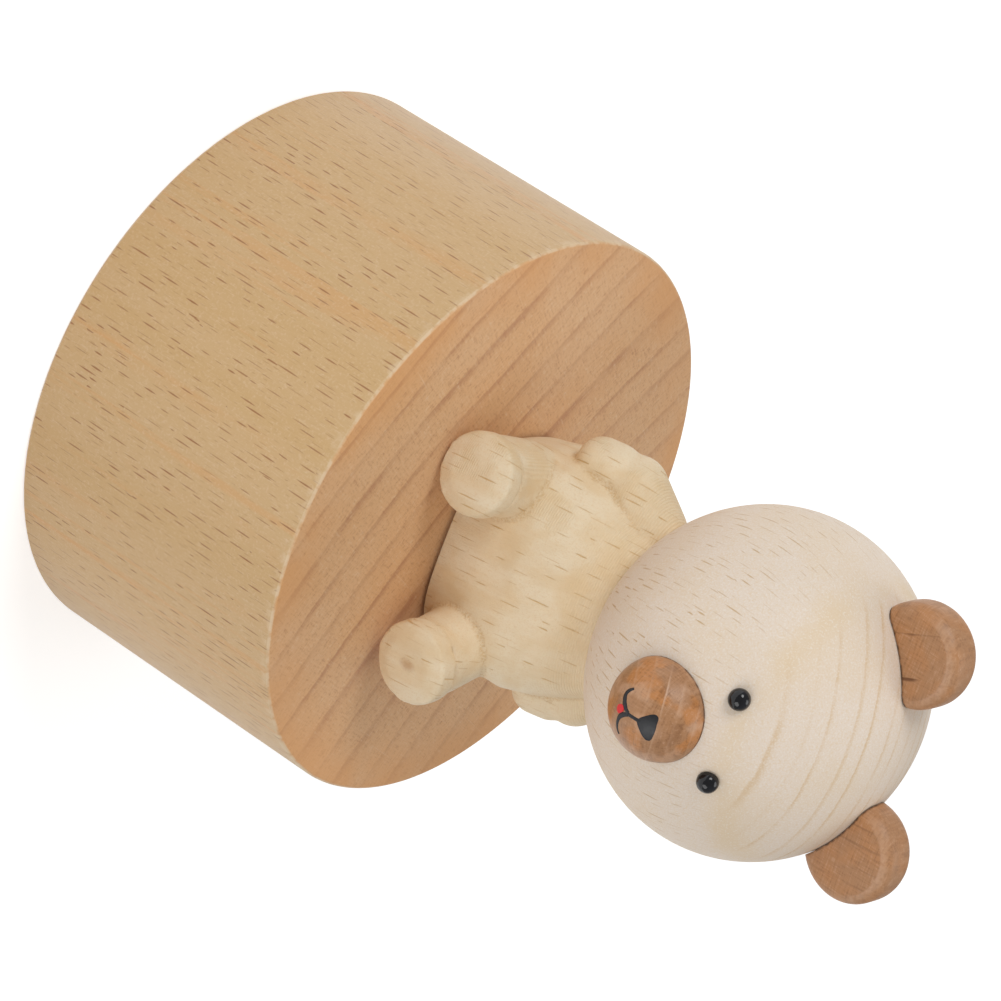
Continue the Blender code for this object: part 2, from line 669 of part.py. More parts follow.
def arbor():
    """The winding arbor: bearing journals, a shoulder under the figure and a threaded end in it."""
    shoulder = BEAR_Z - PRESS_GAP
    end = PLATE_BOTTOM - ARBOR_DROP
    profile = [
        (0, shoulder + THREAD_LENGTH),
        (THREAD_RADIUS * 0.75, shoulder + THREAD_LENGTH),
        (THREAD_RADIUS, shoulder + THREAD_LENGTH - THREAD_RADIUS / 4),
        (THREAD_RADIUS, shoulder),
        (ARBOR_RADIUS, shoulder),
        (ARBOR_RADIUS, end),
        (0, end),
    ]
    finish(turned("winding_arbor", profile), STEEL, FIGURE_AXIS)
    bush = [
        (BORE_RADIUS, BASE_HEIGHT + PRESS_GAP),
        (BUSH_FLANGE_RADIUS, BASE_HEIGHT + PRESS_GAP),
        (BUSH_FLANGE_RADIUS, BASE_HEIGHT - BUSH_FLANGE + PRESS_GAP),
        (BUSH_RADIUS, BASE_HEIGHT - BUSH_FLANGE + PRESS_GAP),
        (BUSH_RADIUS, CEILING_Z + SEAT_GAP),
        (BORE_RADIUS, CEILING_Z + SEAT_GAP),
    ]
    finish(turned("spindle_bush", bush), NYLON)


def drive():
    """The crown gear that the spring turns, with the ratchet wheel and pawl that let it be wound."""
    bore = BORE_RADIUS
    rim = CROWN_RADIUS + PINION_WIDTH / 2 + RUN_GAP
    toothed = CROWN_RADIUS - PINION_WIDTH / 2 - PRESS_GAP
    bm = bmesh.new()
    rings = []
    for radius in (bore, toothed, rim):
        made = bmesh.ops.create_circle(bm, cap_ends=False, segments=2 * CROWN_TEETH, radius=radius)
        rings.append(made["verts"])
    bmesh.ops.rotate(bm, verts=bm.verts, matrix=Matrix.Rotation(tau / (4 * CROWN_TEETH), 3, "Z"))
    bands = []
    for inner, outer in zip(rings, rings[1:]):
        members = set(inner) | set(outer)
        edges = [edge for edge in bm.edges if set(edge.verts) <= members]
        bands.append(bmesh.ops.bridge_loops(bm, edges=edges)["faces"])
    low = CROWN_TOP - CROWN_THICKNESS
    lower = bm.faces[:]
    made = bmesh.ops.extrude_face_region(bm, geom=lower, use_keep_orig=True)
    top_verts = [item for item in made["geom"] if isinstance(item, bmesh.types.BMVert)]
    bmesh.ops.translate(bm, verts=top_verts, vec=(0, 0, CROWN_THICKNESS))
    top_faces = [item for item in made["geom"] if isinstance(item, bmesh.types.BMFace)]
    height = (DEDENDUM + ADDENDUM) * DRIVE_MODULE
    for face in top_faces:
        middle = face.calc_center_median()
        if hypot(middle.x, middle.y) < toothed:
            continue
        share = atan2(middle.y, middle.x) / (tau / CROWN_TEETH)
        if abs(share - round(share)) < 0.25:
            continue
        tooth = bmesh.ops.extrude_discrete_faces(bm, faces=[face])["faces"][0]
        bmesh.ops.translate(bm, verts=tooth.verts, vec=(0, 0, height))
        across = Matrix.Rotation(atan2(middle.y, middle.x), 4, "Z")
        space = (Matrix.Translation((middle.x, middle.y, 0)) @ across).inverted()
        bmesh.ops.scale(bm, verts=tooth.verts, vec=(1, CROWN_CREST, 1), space=space)
    bmesh.ops.translate(bm, verts=bm.verts, vec=(0, 0, low))
    bmesh.ops.recalc_face_normals(bm, faces=bm.faces)
    finish(from_bmesh("drive_gear", bm), NYLON, DRIVE_AXIS)

    ratchet_and_pawl(PLATE_BOTTOM - RATCHET_DROP)


def ratchet_and_pawl(high):
    """Saw teeth on the arbor, and the sprung pawl on the drive gear that they push past when it is wound."""
    step = tau / RATCHET_TEETH
    saw = []
    for i in range(RATCHET_TEETH):
        for radius, angle in ((RATCHET_RADIUS, i * step), (RATCHET_RADIUS * 0.82, (i + 0.12) * step)):
            saw.append((radius * cos(angle), radius * sin(angle)))
    bore_loop = circle((0, 0), ARBOR_RADIUS + PRESS_GAP)
    ratchet = plate("ratchet_wheel", [saw, bore_loop], high - RATCHET_THICKNESS, high, FIGURE_AXIS)
    finish(ratchet, BRASS)
    tip = RATCHET_RADIUS + RUN_GAP
    arm = [(tip + x, y) for x, y in PAWL_OUTLINE]
    finish(plate("ratchet_pawl", [arm], high - RATCHET_THICKNESS, high, DRIVE_AXIS), STEEL)
    clip_top = high - RATCHET_THICKNESS - PRESS_GAP
    bore = ARBOR_RADIUS + PRESS_GAP
    rim = ARBOR_RADIUS * 1.7
    clip = [(bore, clip_top), (rim, clip_top), (rim, clip_top - CASE_WALL), (bore, clip_top - CASE_WALL)]
    finish(turned("arbor_clip", clip), STEEL, FIGURE_AXIS)


def drum():
    """The pinned drum on its shaft, with the pinion at the spring and the gear for the governor."""
    hub = DRUM_SHAFT_RADIUS + PRESS_GAP
    end = DRUM_X + DRUM_LENGTH
    body = turned("drum", [(hub, end), (DRUM_RADIUS, end), (DRUM_RADIUS, DRUM_X), (hub, DRUM_X)], CASE_STEPS)
    body.parent = DRUM_AXIS
    bm = bmesh.new()
    total = NOTES * PINS_PER_NOTE
    for i in range(total):
        angle = tau * (i + 0.5) / total
        along = DRUM_X + (1 + (i * 7) % NOTES) * NOTE_PITCH
        stand = Matrix.Translation((DRUM_RADIUS, 0, along)) @ Matrix.Rotation(pi / 2, 4, "Y")
        bmesh.ops.create_cone(
            bm,
            cap_ends=True,
            segments=4,
            radius1=PIN_RADIUS * 1.3,
            radius2=PIN_RADIUS,
            depth=2 * PIN_HEIGHT,
            matrix=Matrix.Rotation(angle, 4, "Z") @ stand,
        )
    pins = from_bmesh("drum_pins", bm, cutter=True)
    pins.parent = DRUM_AXIS
    boolean(body, pins, "UNION")
    finish(body, BRASS)
    shaft = [
        (0, DRUM_SHAFT_END),
        (DRUM_SHAFT_RADIUS, DRUM_SHAFT_END),
        (DRUM_SHAFT_RADIUS, BEARING_IN_X),
        (0, BEARING_IN_X),
    ]
    finish(turned("drum_shaft", shaft, SHAFT_STEPS), STEEL, DRUM_AXIS)
    bore = circle((0, 0), hub, SHAFT_STEPS)
    teeth = gear_outline(PINION_TEETH, DRIVE_MODULE, -pi / 2)
    finish(plate("drum_pinion", [teeth, bore], PINION_X, PINION_X + PINION_WIDTH, DRUM_AXIS), BRASS)
    teeth = gear_outline(DRUM_GEAR_TEETH, TRAIN_MODULE)
    finish(plate("drum_gear", [teeth, bore], DRUM_GEAR_X, DRUM_GEAR_X + GEAR_THICKNESS, DRUM_AXIS), BRASS)


def bearing(name, x, foot_x, foot_x_end):
    """A plate that hangs from the bedplate, with a foot under it and a hole for the drum's shaft."""
    half = BEARING_WIDTH / 2
    low = DRUM_Z - half
    obj = box(name, (x, -half, low), (x + BEARING_THICKNESS, half, BRACKET_TOP), cutter=False)
    under = BRACKET_TOP - BEARING_THICKNESS
    foot = box(f"{name}_foot", (foot_x, -half, under), (foot_x_end, half, BRACKET_TOP))
    boolean(obj, foot, "UNION")
    across = DRUM_SHAFT_RADIUS + RUN_GAP
    hole = cylinder(f"{name}_hole", across, -BEARING_THICKNESS, 2 * BEARING_THICKNESS, steps=SHAFT_STEPS)
    hole.matrix_world = Matrix.Translation((x, 0, DRUM_Z)) @ ALONG_X
    boolean(obj, hole)
    finish(obj, BRASS)


def idler():
    """The wheel between drum and governor, turning on a post fixed in the bracket."""
    pitch = tau / IDLER_TEETH
    outline = gear_outline(IDLER_TEETH, TRAIN_MODULE, pi + pitch / 2)
    bore = circle((0, 0), FINE_SHAFT_RADIUS + RUN_GAP, SHAFT_STEPS)
    finish(plate("idler_gear", [outline, bore], DRUM_GEAR_X, DRUM_GEAR_X + GEAR_THICKNESS, IDLER_AXIS), BRASS)
    end = BRACKET_X + BRACKET_SHEET + SEAT_GAP
    head = DRUM_GEAR_X - RUN_GAP
    profile = [
        (0, end),
        (FINE_SHAFT_RADIUS, end),
        (FINE_SHAFT_RADIUS, head),
        (2 * FINE_SHAFT_RADIUS, head),
        (2 * FINE_SHAFT_RADIUS, head - SEAT_GAP),
        (0, head - SEAT_GAP),
    ]
    post = turned("idler_post", profile, SHAFT_STEPS)
    post.matrix_world = Matrix.Translation((0, IDLER_Y, DRUM_Z)) @ ALONG_X
    finish(post, STEEL)


def governor():
    """The pinion and worm wheel on one shaft."""
    bore = circle((0, 0), FINE_SHAFT_RADIUS + PRESS_GAP, SHAFT_STEPS)
    pinion = gear_outline(GOVERNOR_TEETH, TRAIN_MODULE, pi, SMALL_TOOTH_WIDTH)
    end = DRUM_GEAR_X + GEAR_THICKNESS
    finish(plate("governor_pinion", [pinion, bore], DRUM_GEAR_X, end, GOVERNOR_AXIS), BRASS)
    worm_module = 2 * WORM_WHEEL_RADIUS / WORM_WHEEL_TEETH
    wheel = gear_outline(WORM_WHEEL_TEETH, worm_module, 0.0, WORM_TOOTH_WIDTH)
    half = GEAR_THICKNESS / 3
    finish(plate("worm_wheel", [wheel, bore], WORM_X - half, WORM_X + half, GOVERNOR_AXIS), BRASS)
    end = BRACKET_X_END + SEAT_GAP
    start = DRUM_GEAR_X - RUN_GAP
    shaft = [(0, end), (FINE_SHAFT_RADIUS, end), (FINE_SHAFT_RADIUS, start), (0, start)]
    finish(turned("governor_shaft", shaft, SHAFT_STEPS), STEEL, GOVERNOR_AXIS)


def worm():
    """The upright worm: a spindle, a barrel and a ridge wound round it to the right."""
    top = BRACKET_TOP - SEAT_GAP
    core = FINE_SHAFT_RADIUS
    spindle = [(0, top), (core, top), (core, WORM_END), (0, WORM_END)]
    obj = turned("worm", spindle, SHAFT_STEPS)
    obj.parent = FLY_AXIS
    thread = bpy.data.curves.new("worm_thread", "CURVE")
    thread.dimensions = "3D"
    thread.bevel_depth = WORM_THREAD_RADIUS
    thread.bevel_resolution = 1
    thread.use_fill_caps = True
    steps = SHAFT_STEPS * WORM_TURNS
    spline = thread.splines.new("POLY")
    spline.points.add(steps)
    ridge = WORM_RADIUS - WORM_THREAD_RADIUS / 2
    for i, point in enumerate(spline.points):
        turns = (i - steps / 2) / SHAFT_STEPS
        angle = -pi / 2 + tau * turns
        height = DRUM_Z + WORM_LEAD * (turns + 0.5)
        point.co = (ridge * cos(angle), ridge * sin(angle), height, 1)
    winding = link("worm_thread", thread, cutter=True)
    winding.parent = FLY_AXIS
    winding = as_mesh(winding, cutter=True)
    length = WORM_LEAD * (WORM_TURNS / 2 + 0.4)
    root = ridge - 0.9 * WORM_THREAD_RADIUS
    barrel = cylinder("worm_barrel", root, DRUM_Z - length, DRUM_Z + WORM_LEAD + length, steps=SHAFT_STEPS)
    barrel.parent = FLY_AXIS
    boolean(obj, barrel, "UNION")
    boolean(obj, winding, "UNION")
    finish(obj, NYLON)


def fly():
    """The two-bladed air brake pressed on the worm's lower end."""
    bore = FINE_SHAFT_RADIUS + PRESS_GAP
    hub = 2 * FINE_SHAFT_RADIUS
    high = BRACKET_BOTTOM - 2 * SEAT_GAP
    low = WORM_END + SEAT_GAP
    obj = turned("fly", [(bore, high), (hub, high), (hub, low), (bore, low)], SHAFT_STEPS)
    obj.parent = FLY_AXIS
    for side, name in ((1, "fly_blade_out"), (-1, "fly_blade_in")):
        near, far = sorted((side * hub * 0.8, side * FLY_RADIUS))
        half = FLY_SHEET / 2
        blade = box(name, (near, -half, low + SEAT_GAP), (far, half, high - SEAT_GAP))
        blade.parent = FLY_AXIS
        boolean(obj, blade, "UNION")
    finish(obj, NYLON)


def governor_frame():
    """The channel that holds both shafts, with an arm for the idler's post and two ears for its screws."""
    inner_low = (BRACKET_X, BRACKET_Y, BRACKET_BOTTOM)
    frame = box("governor_bracket", inner_low, (BRACKET_X_END, BRACKET_Y_END, BRACKET_TOP), cutter=False)
    sheet = BRACKET_SHEET
    room = box(
        "bracket_room",
        (BRACKET_X + sheet, BRACKET_Y - sheet, BRACKET_BOTTOM + sheet),
        (BRACKET_X_END - sheet, BRACKET_Y_END + sheet, BRACKET_TOP - sheet),
    )
    boolean(frame, room)
    arm_half = 2.6 * FINE_SHAFT_RADIUS
    arm_low = (BRACKET_X, IDLER_Y - arm_half, DRUM_Z - arm_half)
    pieces = [("bracket_arm", arm_low, (BRACKET_X + sheet, BRACKET_Y + sheet, DRUM_Z + arm_half))]
    for label, (x, y) in (("in", EAR_SCREW_IN), ("out", EAR_SCREW_OUT)):
        half = SMALL_SCREW[0] + SIDE_PLAY
        near = min(x - half, BRACKET_X_END - sheet / 2)
        far = max(x + half, BRACKET_X + sheet / 2)
        low = (near, y - half, BRACKET_TOP - sheet)
        pieces.append((f"bracket_ear_{label}", low, (far, y + half, BRACKET_TOP)))
    for name, low, high in pieces:
        boolean(frame, box(name, low, high), "UNION")
    across = FINE_SHAFT_RADIUS + RUN_GAP
    for name, y, start, end in (
        ("governor_bore", GOVERNOR_Y, BRACKET_X - sheet, BRACKET_X_END + sheet),
        ("idler_bore", IDLER_Y, BRACKET_X - sheet, BRACKET_X + 2 * sheet),
    ):
        bore = cylinder(name, across, start, end, steps=SHAFT_STEPS)
        bore.matrix_world = Matrix.Translation((0, y, DRUM_Z)) @ ALONG_X
        boolean(frame, bore)
    place = (WORM_X, WORM_Y)
    low = BRACKET_BOTTOM - sheet
    boolean(frame, cylinder("fly_bore", across, low, BRACKET_TOP + sheet, place, SHAFT_STEPS))
    tap = SMALL_SCREW[2] + PRESS_GAP
    for i, place in enumerate((EAR_SCREW_IN, EAR_SCREW_OUT)):
        low = BRACKET_TOP - 2 * sheet
        hole = cylinder(f"ear_hole_{i + 1}", tap, low, BRACKET_TOP + sheet, place, SCREW_STEPS)
        boolean(frame, hole)
        screw(f"bracket_screw_{i + 1}", (*place, BRACKET_TOP - sheet - PRESS_GAP), SMALL_SCREW)
    finish(frame, CAST)


def limb(bm, ends, side, turn=0.0, shift=0.0):
    """Tapered rods with round ends, one after another, the last end shifted sideways."""
    spin = Matrix.Rotation(turn, 3, "Z")
    last = None
    for ratio in ends:
        centre = spin @ body_place(ratio, side)
        if ratio is ends[-1]:
            centre.x += shift
        radius = BODY_HEIGHT * ratio[3]
        place = Matrix.Translation(centre)
        bmesh.ops.create_uvsphere(bm, u_segments=20, v_segments=12, radius=radius, matrix=place)
        if last is not None:
            rod(bm, *last, centre, radius)
        last = (centre, radius)
    return last


def body_place(ratio, side):
    """A place in the body from its shares of the half width, half depth and height."""
    return Vector((side * BODY_HALF_WIDTH * ratio[0], BODY_HALF_DEPTH * ratio[1], BODY_HEIGHT * ratio[2]))


def rod(bm, start, start_radius, end, end_radius):
    turn = (end - start).to_track_quat("Z", "Y").to_matrix().to_4x4()
    bmesh.ops.create_cone(
        bm,
        cap_ends=True,
        segments=CASE_STEPS,
        radius1=start_radius,
        radius2=end_radius,
        depth=(end - start).length,
        matrix=Matrix.Translation((start + end) / 2) @ turn,
    )


def torso(bm):
    """Sections between an oval and a rectangle lofted upwards, leaning back a little."""
    ring = bmesh.ops.create_circle(bm, cap_ends=True, segments=32, radius=1)["verts"]
    last = None
    for share, width, depth, lean, square in TORSO:
        if last is not None:
            cap = [face for face in ring[0].link_faces if len(face.verts) == len(ring)]
            made = bmesh.ops.extrude_face_region(bm, geom=cap, use_keep_orig=last == 0)
            ring = [item for item in made["geom"] if isinstance(item, bmesh.types.BMVert)]
        last = 0 if last is None else 1
        for i, vert in enumerate(sorted(ring, key=lambda v: atan2(v.co.y, v.co.x))):
            angle = -pi + tau * (i + 0.5) / len(ring)
            reach = (abs(cos(angle)) ** square + abs(sin(angle)) ** square) ** (-1 / square)
            vert.co = (
                BODY_HALF_WIDTH * width * reach * cos(angle),
                BODY_SETBACK + BODY_LEAN * lean + BODY_HALF_DEPTH * depth * reach * sin(angle),
                BODY_HEIGHT * share,
            )


def foot(bm, side, ankle, ankle_radius):
    """The round end of a leg, its flat sole turned a little outwards."""
    ahead = Vector((side * sin(FOOT_SPLAY), -cos(FOOT_SPLAY), 0))
    sole = body_place(SOLE, side) + Vector((LEG_SHIFT, 0, 0))
    radius = BODY_HEIGHT * SOLE[3]
    heel = sole - ahead * FOOT_THICKNESS
    rod(bm, ankle, ankle_radius, heel, radius * 0.9)
    rod(bm, heel, radius * 0.98, sole, radius * 0.97)
    rod(bm, sole, radius * 0.86, sole + ahead * FOOT_THICKNESS / 5, radius * 0.6)


def bear_body():
    """Torso, arms and legs run together as one carved piece, flat below and dished above."""
    bm = bmesh.new()
    torso(bm)
    for side in (-1, 1):
        limb(bm, (SHOULDER, ELBOW), side, ARM_TURN)
        limb(bm, (WRIST, HAND), side, ARM_TURN)
        ankle, radius = limb(bm, (HIP, KNEE, ANKLE), side, shift=LEG_SHIFT)
        foot(bm, side, ankle, radius)
    bmesh.ops.recalc_face_normals(bm, faces=bm.faces)
    seat = Matrix.Translation((BODY_SHIFT, 0, BEAR_Z))
    lean = Matrix.Rotation(BODY_TILT, 4, "Y") @ Matrix.Rotation(BODY_TURN, 4, "Z")
    bmesh.ops.transform(bm, verts=bm.verts, matrix=seat @ lean)
    obj = from_bmesh("bear_body", bm)
    remesh = obj.modifiers.new("Carve", "REMESH")
    remesh.mode = "VOXEL"
    remesh.voxel_size = CARVE_GRAIN
    remesh.use_smooth_shade = True
    soften = obj.modifiers.new("Soften", "SMOOTH")
    soften.factor = 0.5
    soften.iterations = 6
    fewer = obj.modifiers.new("Facets", "DECIMATE")
    fewer.ratio = 0.10
    reach = 3 * BODY_HALF_WIDTH
    boolean(obj, box("under_cut", (-reach, -reach, BEAR_Z - BODY_HEIGHT), (reach, reach, BEAR_Z)))
    boolean(obj, head_ball("neck_dish", SEAT_GAP, True))
    low = HEAD_LOW - DOWEL_DEPTH
    depth = THREAD_LENGTH + 2 * SEAT_GAP
    boolean(obj, cylinder("insert_hole", INSERT_RADIUS + PRESS_GAP, BEAR_Z - depth, BEAR_Z + depth))
    across = DOWEL_RADIUS + PRESS_GAP
    boolean(obj, cylinder("neck_hole_low", across, low - SEAT_GAP, HEAD_Z, (0, HEAD_SETBACK)))
    finish(obj, MAPLE)
    insert = [
        (THREAD_RADIUS + PRESS_GAP, BEAR_Z + THREAD_LENGTH),
        (INSERT_RADIUS, BEAR_Z + THREAD_LENGTH),
        (INSERT_RADIUS, BEAR_Z + PRESS_GAP),
        (THREAD_RADIUS + PRESS_GAP, BEAR_Z + PRESS_GAP),
    ]
    finish(turned("threaded_insert", insert), BRASS, FIGURE_AXIS)
    high = HEAD_LOW + DOWEL_DEPTH
    dowel = cylinder("neck_dowel", DOWEL_RADIUS, low, high, (0, HEAD_SETBACK), cutter=False)
    finish(dowel, BEECH, FIGURE_AXIS)
    obj.parent = FIGURE_AXIS


def head_ball(name, grow, cutter):
    """The head's flattened ball, grown by a gap where it hollows another piece."""
    across, up = HEAD_STEPS
    bm = bmesh.new()
    size = (HEAD_RADIUS + grow, HEAD_RADIUS + grow, HEAD_HALF_HEIGHT + grow)
    place = Matrix.Translation((0, HEAD_SETBACK, HEAD_Z)) @ Matrix.Diagonal((*size, 1))
    bmesh.ops.create_uvsphere(bm, u_segments=across, v_segments=up, radius=1, matrix=place)
    return from_bmesh(name, bm, cutter)


def bear_head():
    """The head on its dowel, and the ears, muzzle and eyes, which are hollowed to its surface."""
    ball = head_ball("bear_head", 0, False)
    hole_top = HEAD_LOW + DOWEL_DEPTH + SEAT_GAP
    bore = cylinder("neck_hole_high", DOWEL_RADIUS + PRESS_GAP, BEAR_Z, hole_top, (0, HEAD_SETBACK))
    boolean(ball, bore)
    finish(ball, HEAD_MAPLE, FIGURE_AXIS)
    form = head_ball("head_form", PRESS_GAP, True)
    for side, name in ((-1, "ear_right"), (1, "ear_left")):
        ear(name, side, form)
    muzzle = sphere("muzzle", MUZZLE_RADIUS, on_head(0, MUZZLE_DEPTH - HEAD_RADIUS, MUZZLE_RISE), 20, 12)
    boolean(muzzle, form)
    finish(muzzle, STAINED, FIGURE_AXIS)
    for side, name in ((-1, "eye_right"), (1, "eye_left")):
        across = side * HEAD_RADIUS * EYE_PLACE_RATIO[0] + EYE_SHIFT
        rise = HEAD_HALF_HEIGHT * EYE_PLACE_RATIO[1]
        level = 1 - (rise / HEAD_HALF_HEIGHT) ** 2
        ahead = EYE_RADIUS / 5 + sqrt(HEAD_RADIUS**2 * level - across * across)
        eye = sphere(name, EYE_RADIUS, on_head(across, -ahead, rise), 12, 8)
        boolean(eye, form)
        finish(eye, BLACK, FIGURE_AXIS)


def on_head(across, back, rise):
    """A place given from the head's middle."""
    return Vector((across, HEAD_SETBACK + back, HEAD_Z + rise))


def sphere(name, radius, centre, across, up):
    bm = bmesh.new()
    place = Matrix.Translation(centre)
    bmesh.ops.create_uvsphere(bm, u_segments=across, v_segments=up, radius=radius, matrix=place)
    return from_bmesh(name, bm)


def ear(name, side, form):
    """A thick disc, flat in front with a round rim, fuller behind."""
    half = EAR_THICKNESS / 2
    front = EAR_THICKNESS * 0.28
    back = EAR_THICKNESS * 0.45
    profile = [(0, half)]
    profile += arc((EAR_RADIUS - front, half - front), front, pi / 2, 0, 3)
    profile += arc((EAR_RADIUS - back, back - half), back, 0, -pi / 2, 3)
    profile += [(0, -half)]
    obj = turned(name, profile, CASE_STEPS)
    across, back, rise = EAR_PLACE_RATIO
    place = Vector((side * HEAD_RADIUS * across, HEAD_RADIUS * back, HEAD_HALF_HEIGHT * rise))
    place = on_head(EAR_SHIFT, 0, 0) + Matrix.Rotation(BODY_TILT, 3, "Y") @ place
    obj.parent = FIGURE_AXIS
    obj.matrix_world = Matrix.Translation(place) @ Euler((pi / 2, 0, 0)).to_matrix().to_4x4()
    boolean(obj, form)
    finish(obj, STAINED, FIGURE_AXIS)


def main():
    base()
    cover()
    bedplate()
    spring_case()
    arbor()
    drive()
    drum()
    bearing("drum_bearing_inner", BEARING_IN_X, BEARING_IN_X, PINION_X + PINION_WIDTH)
    end = BEARING_OUT_X + BEARING_THICKNESS + FOOT_LENGTH
    bearing("drum_bearing_outer", BEARING_OUT_X, BEARING_OUT_X, end)
    comb()
    idler()
    governor()
    worm()
    fly()
    governor_frame()
    bear_body()
    bear_head()


main()
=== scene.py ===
"""Looks of a wooden music box: a carved bear that turns on a beech base while the movement inside plays."""

from math import atan2, cos, radians, sin, sqrt, tau

import bmesh
import bpy
from bpy.props import FloatProperty, FloatVectorProperty, IntProperty, PointerProperty
from bpy.types import Operator, Panel, PropertyGroup
from mathutils import Matrix, Vector


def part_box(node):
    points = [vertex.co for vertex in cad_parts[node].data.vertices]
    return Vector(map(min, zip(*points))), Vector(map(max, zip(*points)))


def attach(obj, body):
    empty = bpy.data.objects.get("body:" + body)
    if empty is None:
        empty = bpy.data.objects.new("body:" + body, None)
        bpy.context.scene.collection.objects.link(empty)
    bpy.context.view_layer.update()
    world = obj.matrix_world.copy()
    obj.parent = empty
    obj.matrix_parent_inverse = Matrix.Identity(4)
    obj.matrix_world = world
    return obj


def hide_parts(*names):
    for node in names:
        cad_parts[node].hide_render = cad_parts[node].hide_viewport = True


bl_info = {
    "name": "Wooden Music Box",
    "version": (1, 0, 0),
    "blender": (4, 5, 0),
    "location": "View3D > Sidebar > Music Box",
    "description": "Models and finishes a wooden music box with a bear that turns on it",
    "category": "Add Mesh",
}

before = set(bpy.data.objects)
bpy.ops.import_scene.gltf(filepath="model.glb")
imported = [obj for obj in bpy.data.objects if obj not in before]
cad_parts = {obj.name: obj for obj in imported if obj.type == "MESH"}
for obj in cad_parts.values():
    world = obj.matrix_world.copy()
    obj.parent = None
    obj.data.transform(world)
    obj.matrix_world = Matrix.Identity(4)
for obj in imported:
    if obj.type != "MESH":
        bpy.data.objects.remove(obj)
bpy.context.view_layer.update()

MM = 0.001
SEAT_GAP = 0.3 * MM
PRESS_GAP = 0.1 * MM
MERGE = 0.0005 * MM

BASE_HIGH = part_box("base_shell")[1]
COVER_LOW, COVER_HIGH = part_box("bottom_cover")
BUSH_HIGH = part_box("spindle_bush")[1]
HEAD_LOW, HEAD_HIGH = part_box("bear_head")
HEAD_CENTRE = (HEAD_LOW + HEAD_HIGH) / 2
HEAD_SIZE = (HEAD_HIGH - HEAD_LOW) / 2
BEAR_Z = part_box("bear_body")[0].z
CEILING_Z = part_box("bedplate")[1].z + SEAT_GAP
COVER_SCREWS = [f"cover_screw_{number}" for number in (1, 2, 3)]
PLATE_SCREWS = [f"bedplate_screw_{number}" for number in (1, 2, 3)]

# Base: ledge over the cover, the bush's barrel and flange, the screws' pillars and holes
LEDGE = 1.2 * MM
BUSH_RADIUS = 3.0 * MM
BUSH_FLANGE = 1.0 * MM
PILLAR_RADIUS = 3.4 * MM
PILOT_RADIUS = 1.05 * MM
SCREW_HOLE = 1.4 * MM

# Cover screws: height of the head, radius of the shank, width and depth of the cross slot
SCREW_HEAD = 1.2 * MM
SCREW_SHANK = 1.2 * MM
SLOT_WIDTH = 0.42 * MM
SLOT_DEPTH = 1.5 * MM

# Facets round a ball or hole
FINE_BALL = (128, 96)
FILM_BALL = (192, 128)
HOLE_STEPS = 32


def display(red, green, blue):
    """The linear colour of an 8-bit display colour."""
    return tuple(((value / 255 + 0.055) / 1.055) ** 2.4 for value in (red, green, blue))


def size(name, default, description):
    """A length that can be changed."""
    return FloatProperty(
        name=name, description=description, default=default, unit="LENGTH", subtype="DISTANCE"
    )


def angle(name, degrees, description):
    """An angle that can be changed."""
    return FloatProperty(name=name, description=description, default=radians(degrees), subtype="ANGLE")


def power(name, default, description):
    """A lamp's power, which can be changed."""
    return FloatProperty(name=name, description=description, default=default, min=0, subtype="POWER")


def colour(name, default, description):
    """A colour that can be changed."""
    return FloatVectorProperty(
        name=name, description=description, default=default, size=3, min=0, max=1, subtype="COLOR"
    )


def tint(name, red, green, blue, description):
    """A colour that can be changed, given as an 8-bit display colour."""
    return colour(name, display(red, green, blue), description)


class BaseSettings(PropertyGroup):
    """Sizes and colours of the beech base."""

    rim_round: size("Rim round", 0.5 * MM, "Radius of the rounded rims")
    steps: IntProperty(name="Steps", description="Facets round the base", default=256, min=48)
    side: tint("Side", 213, 177, 128, "Beech along the grain")
    side_warm: tint("Side bands", 208, 169, 112, "Late wood in the side's soft bands")
    top: tint("Top", 222, 177, 128, "Beech across the grain")
    top_warm: tint("Top patches", 219, 167, 110, "Warmer patches of the top")
    ring: tint("Rings", 172, 108, 66, "Ring lines on the top")
    glow: tint("Top edge", 222, 158, 92, "Deeper colour close to the top's edge")
    fleck: tint("Flecks", 162, 104, 58, "Rays on the side")
    # The rim colour also paints a highlight along the rounded rims and just below the top's rim
    rim: tint("Rim", 232, 206, 170, "Worn edges of the rims")
    ring_spacing: size("Ring spacing", 5.6 * MM, "Distance between the rings")


class BodySettings(PropertyGroup):
    """Sizes and colours of the carved body."""

    height: size("Height", 25.0 * MM, "From the base to the neck, before the dish")
    half_width: size("Half width", 15.2 * MM, "Half the torso's width at its widest")
    half_depth: size("Half depth", 10.4 * MM, "Half the torso's depth at its deepest")
    lean: size("Lean", 1.3 * MM, "How far the neck stands behind the seat")
    setback: size("Setback", 1.7 * MM, "How far the torso sits behind the axis")
    turn: angle("Turn", -3.5, "How far the body is turned from straight ahead")
    arm_turn: angle("Arm turn", 5.5, "How far the arms are turned back against the body")
    tilt: angle("Tilt", -3, "How far the body leans to one side")
    leg_shift: size("Leg shift", 0.6 * MM, "How far the legs stand to one side of the body's middle")
    foot_thickness: size("Foot thickness", 2.6 * MM, "From a foot's sole to its rim behind")
    splay: angle("Splay", 9, "How far the feet point outwards")
    grain: size("Carving grain", 0.32 * MM, "Edge length of the carved surface")
    wood: tint("Wood", 239, 221, 190, "Pale wood of the body")
    # Warm wood also paints the shade towards the neck under the head
    wood_warm: tint("Warm wood", 228, 199, 154, "Bands and cut grooves")
    # The fleck colour also darkens the grooves, as torn fibres and painted shade
    fleck: tint("Flecks", 207, 167, 108, "Rays on the body")
    knot: tint("Knot", 190, 142, 94, "Small knot in a sole")


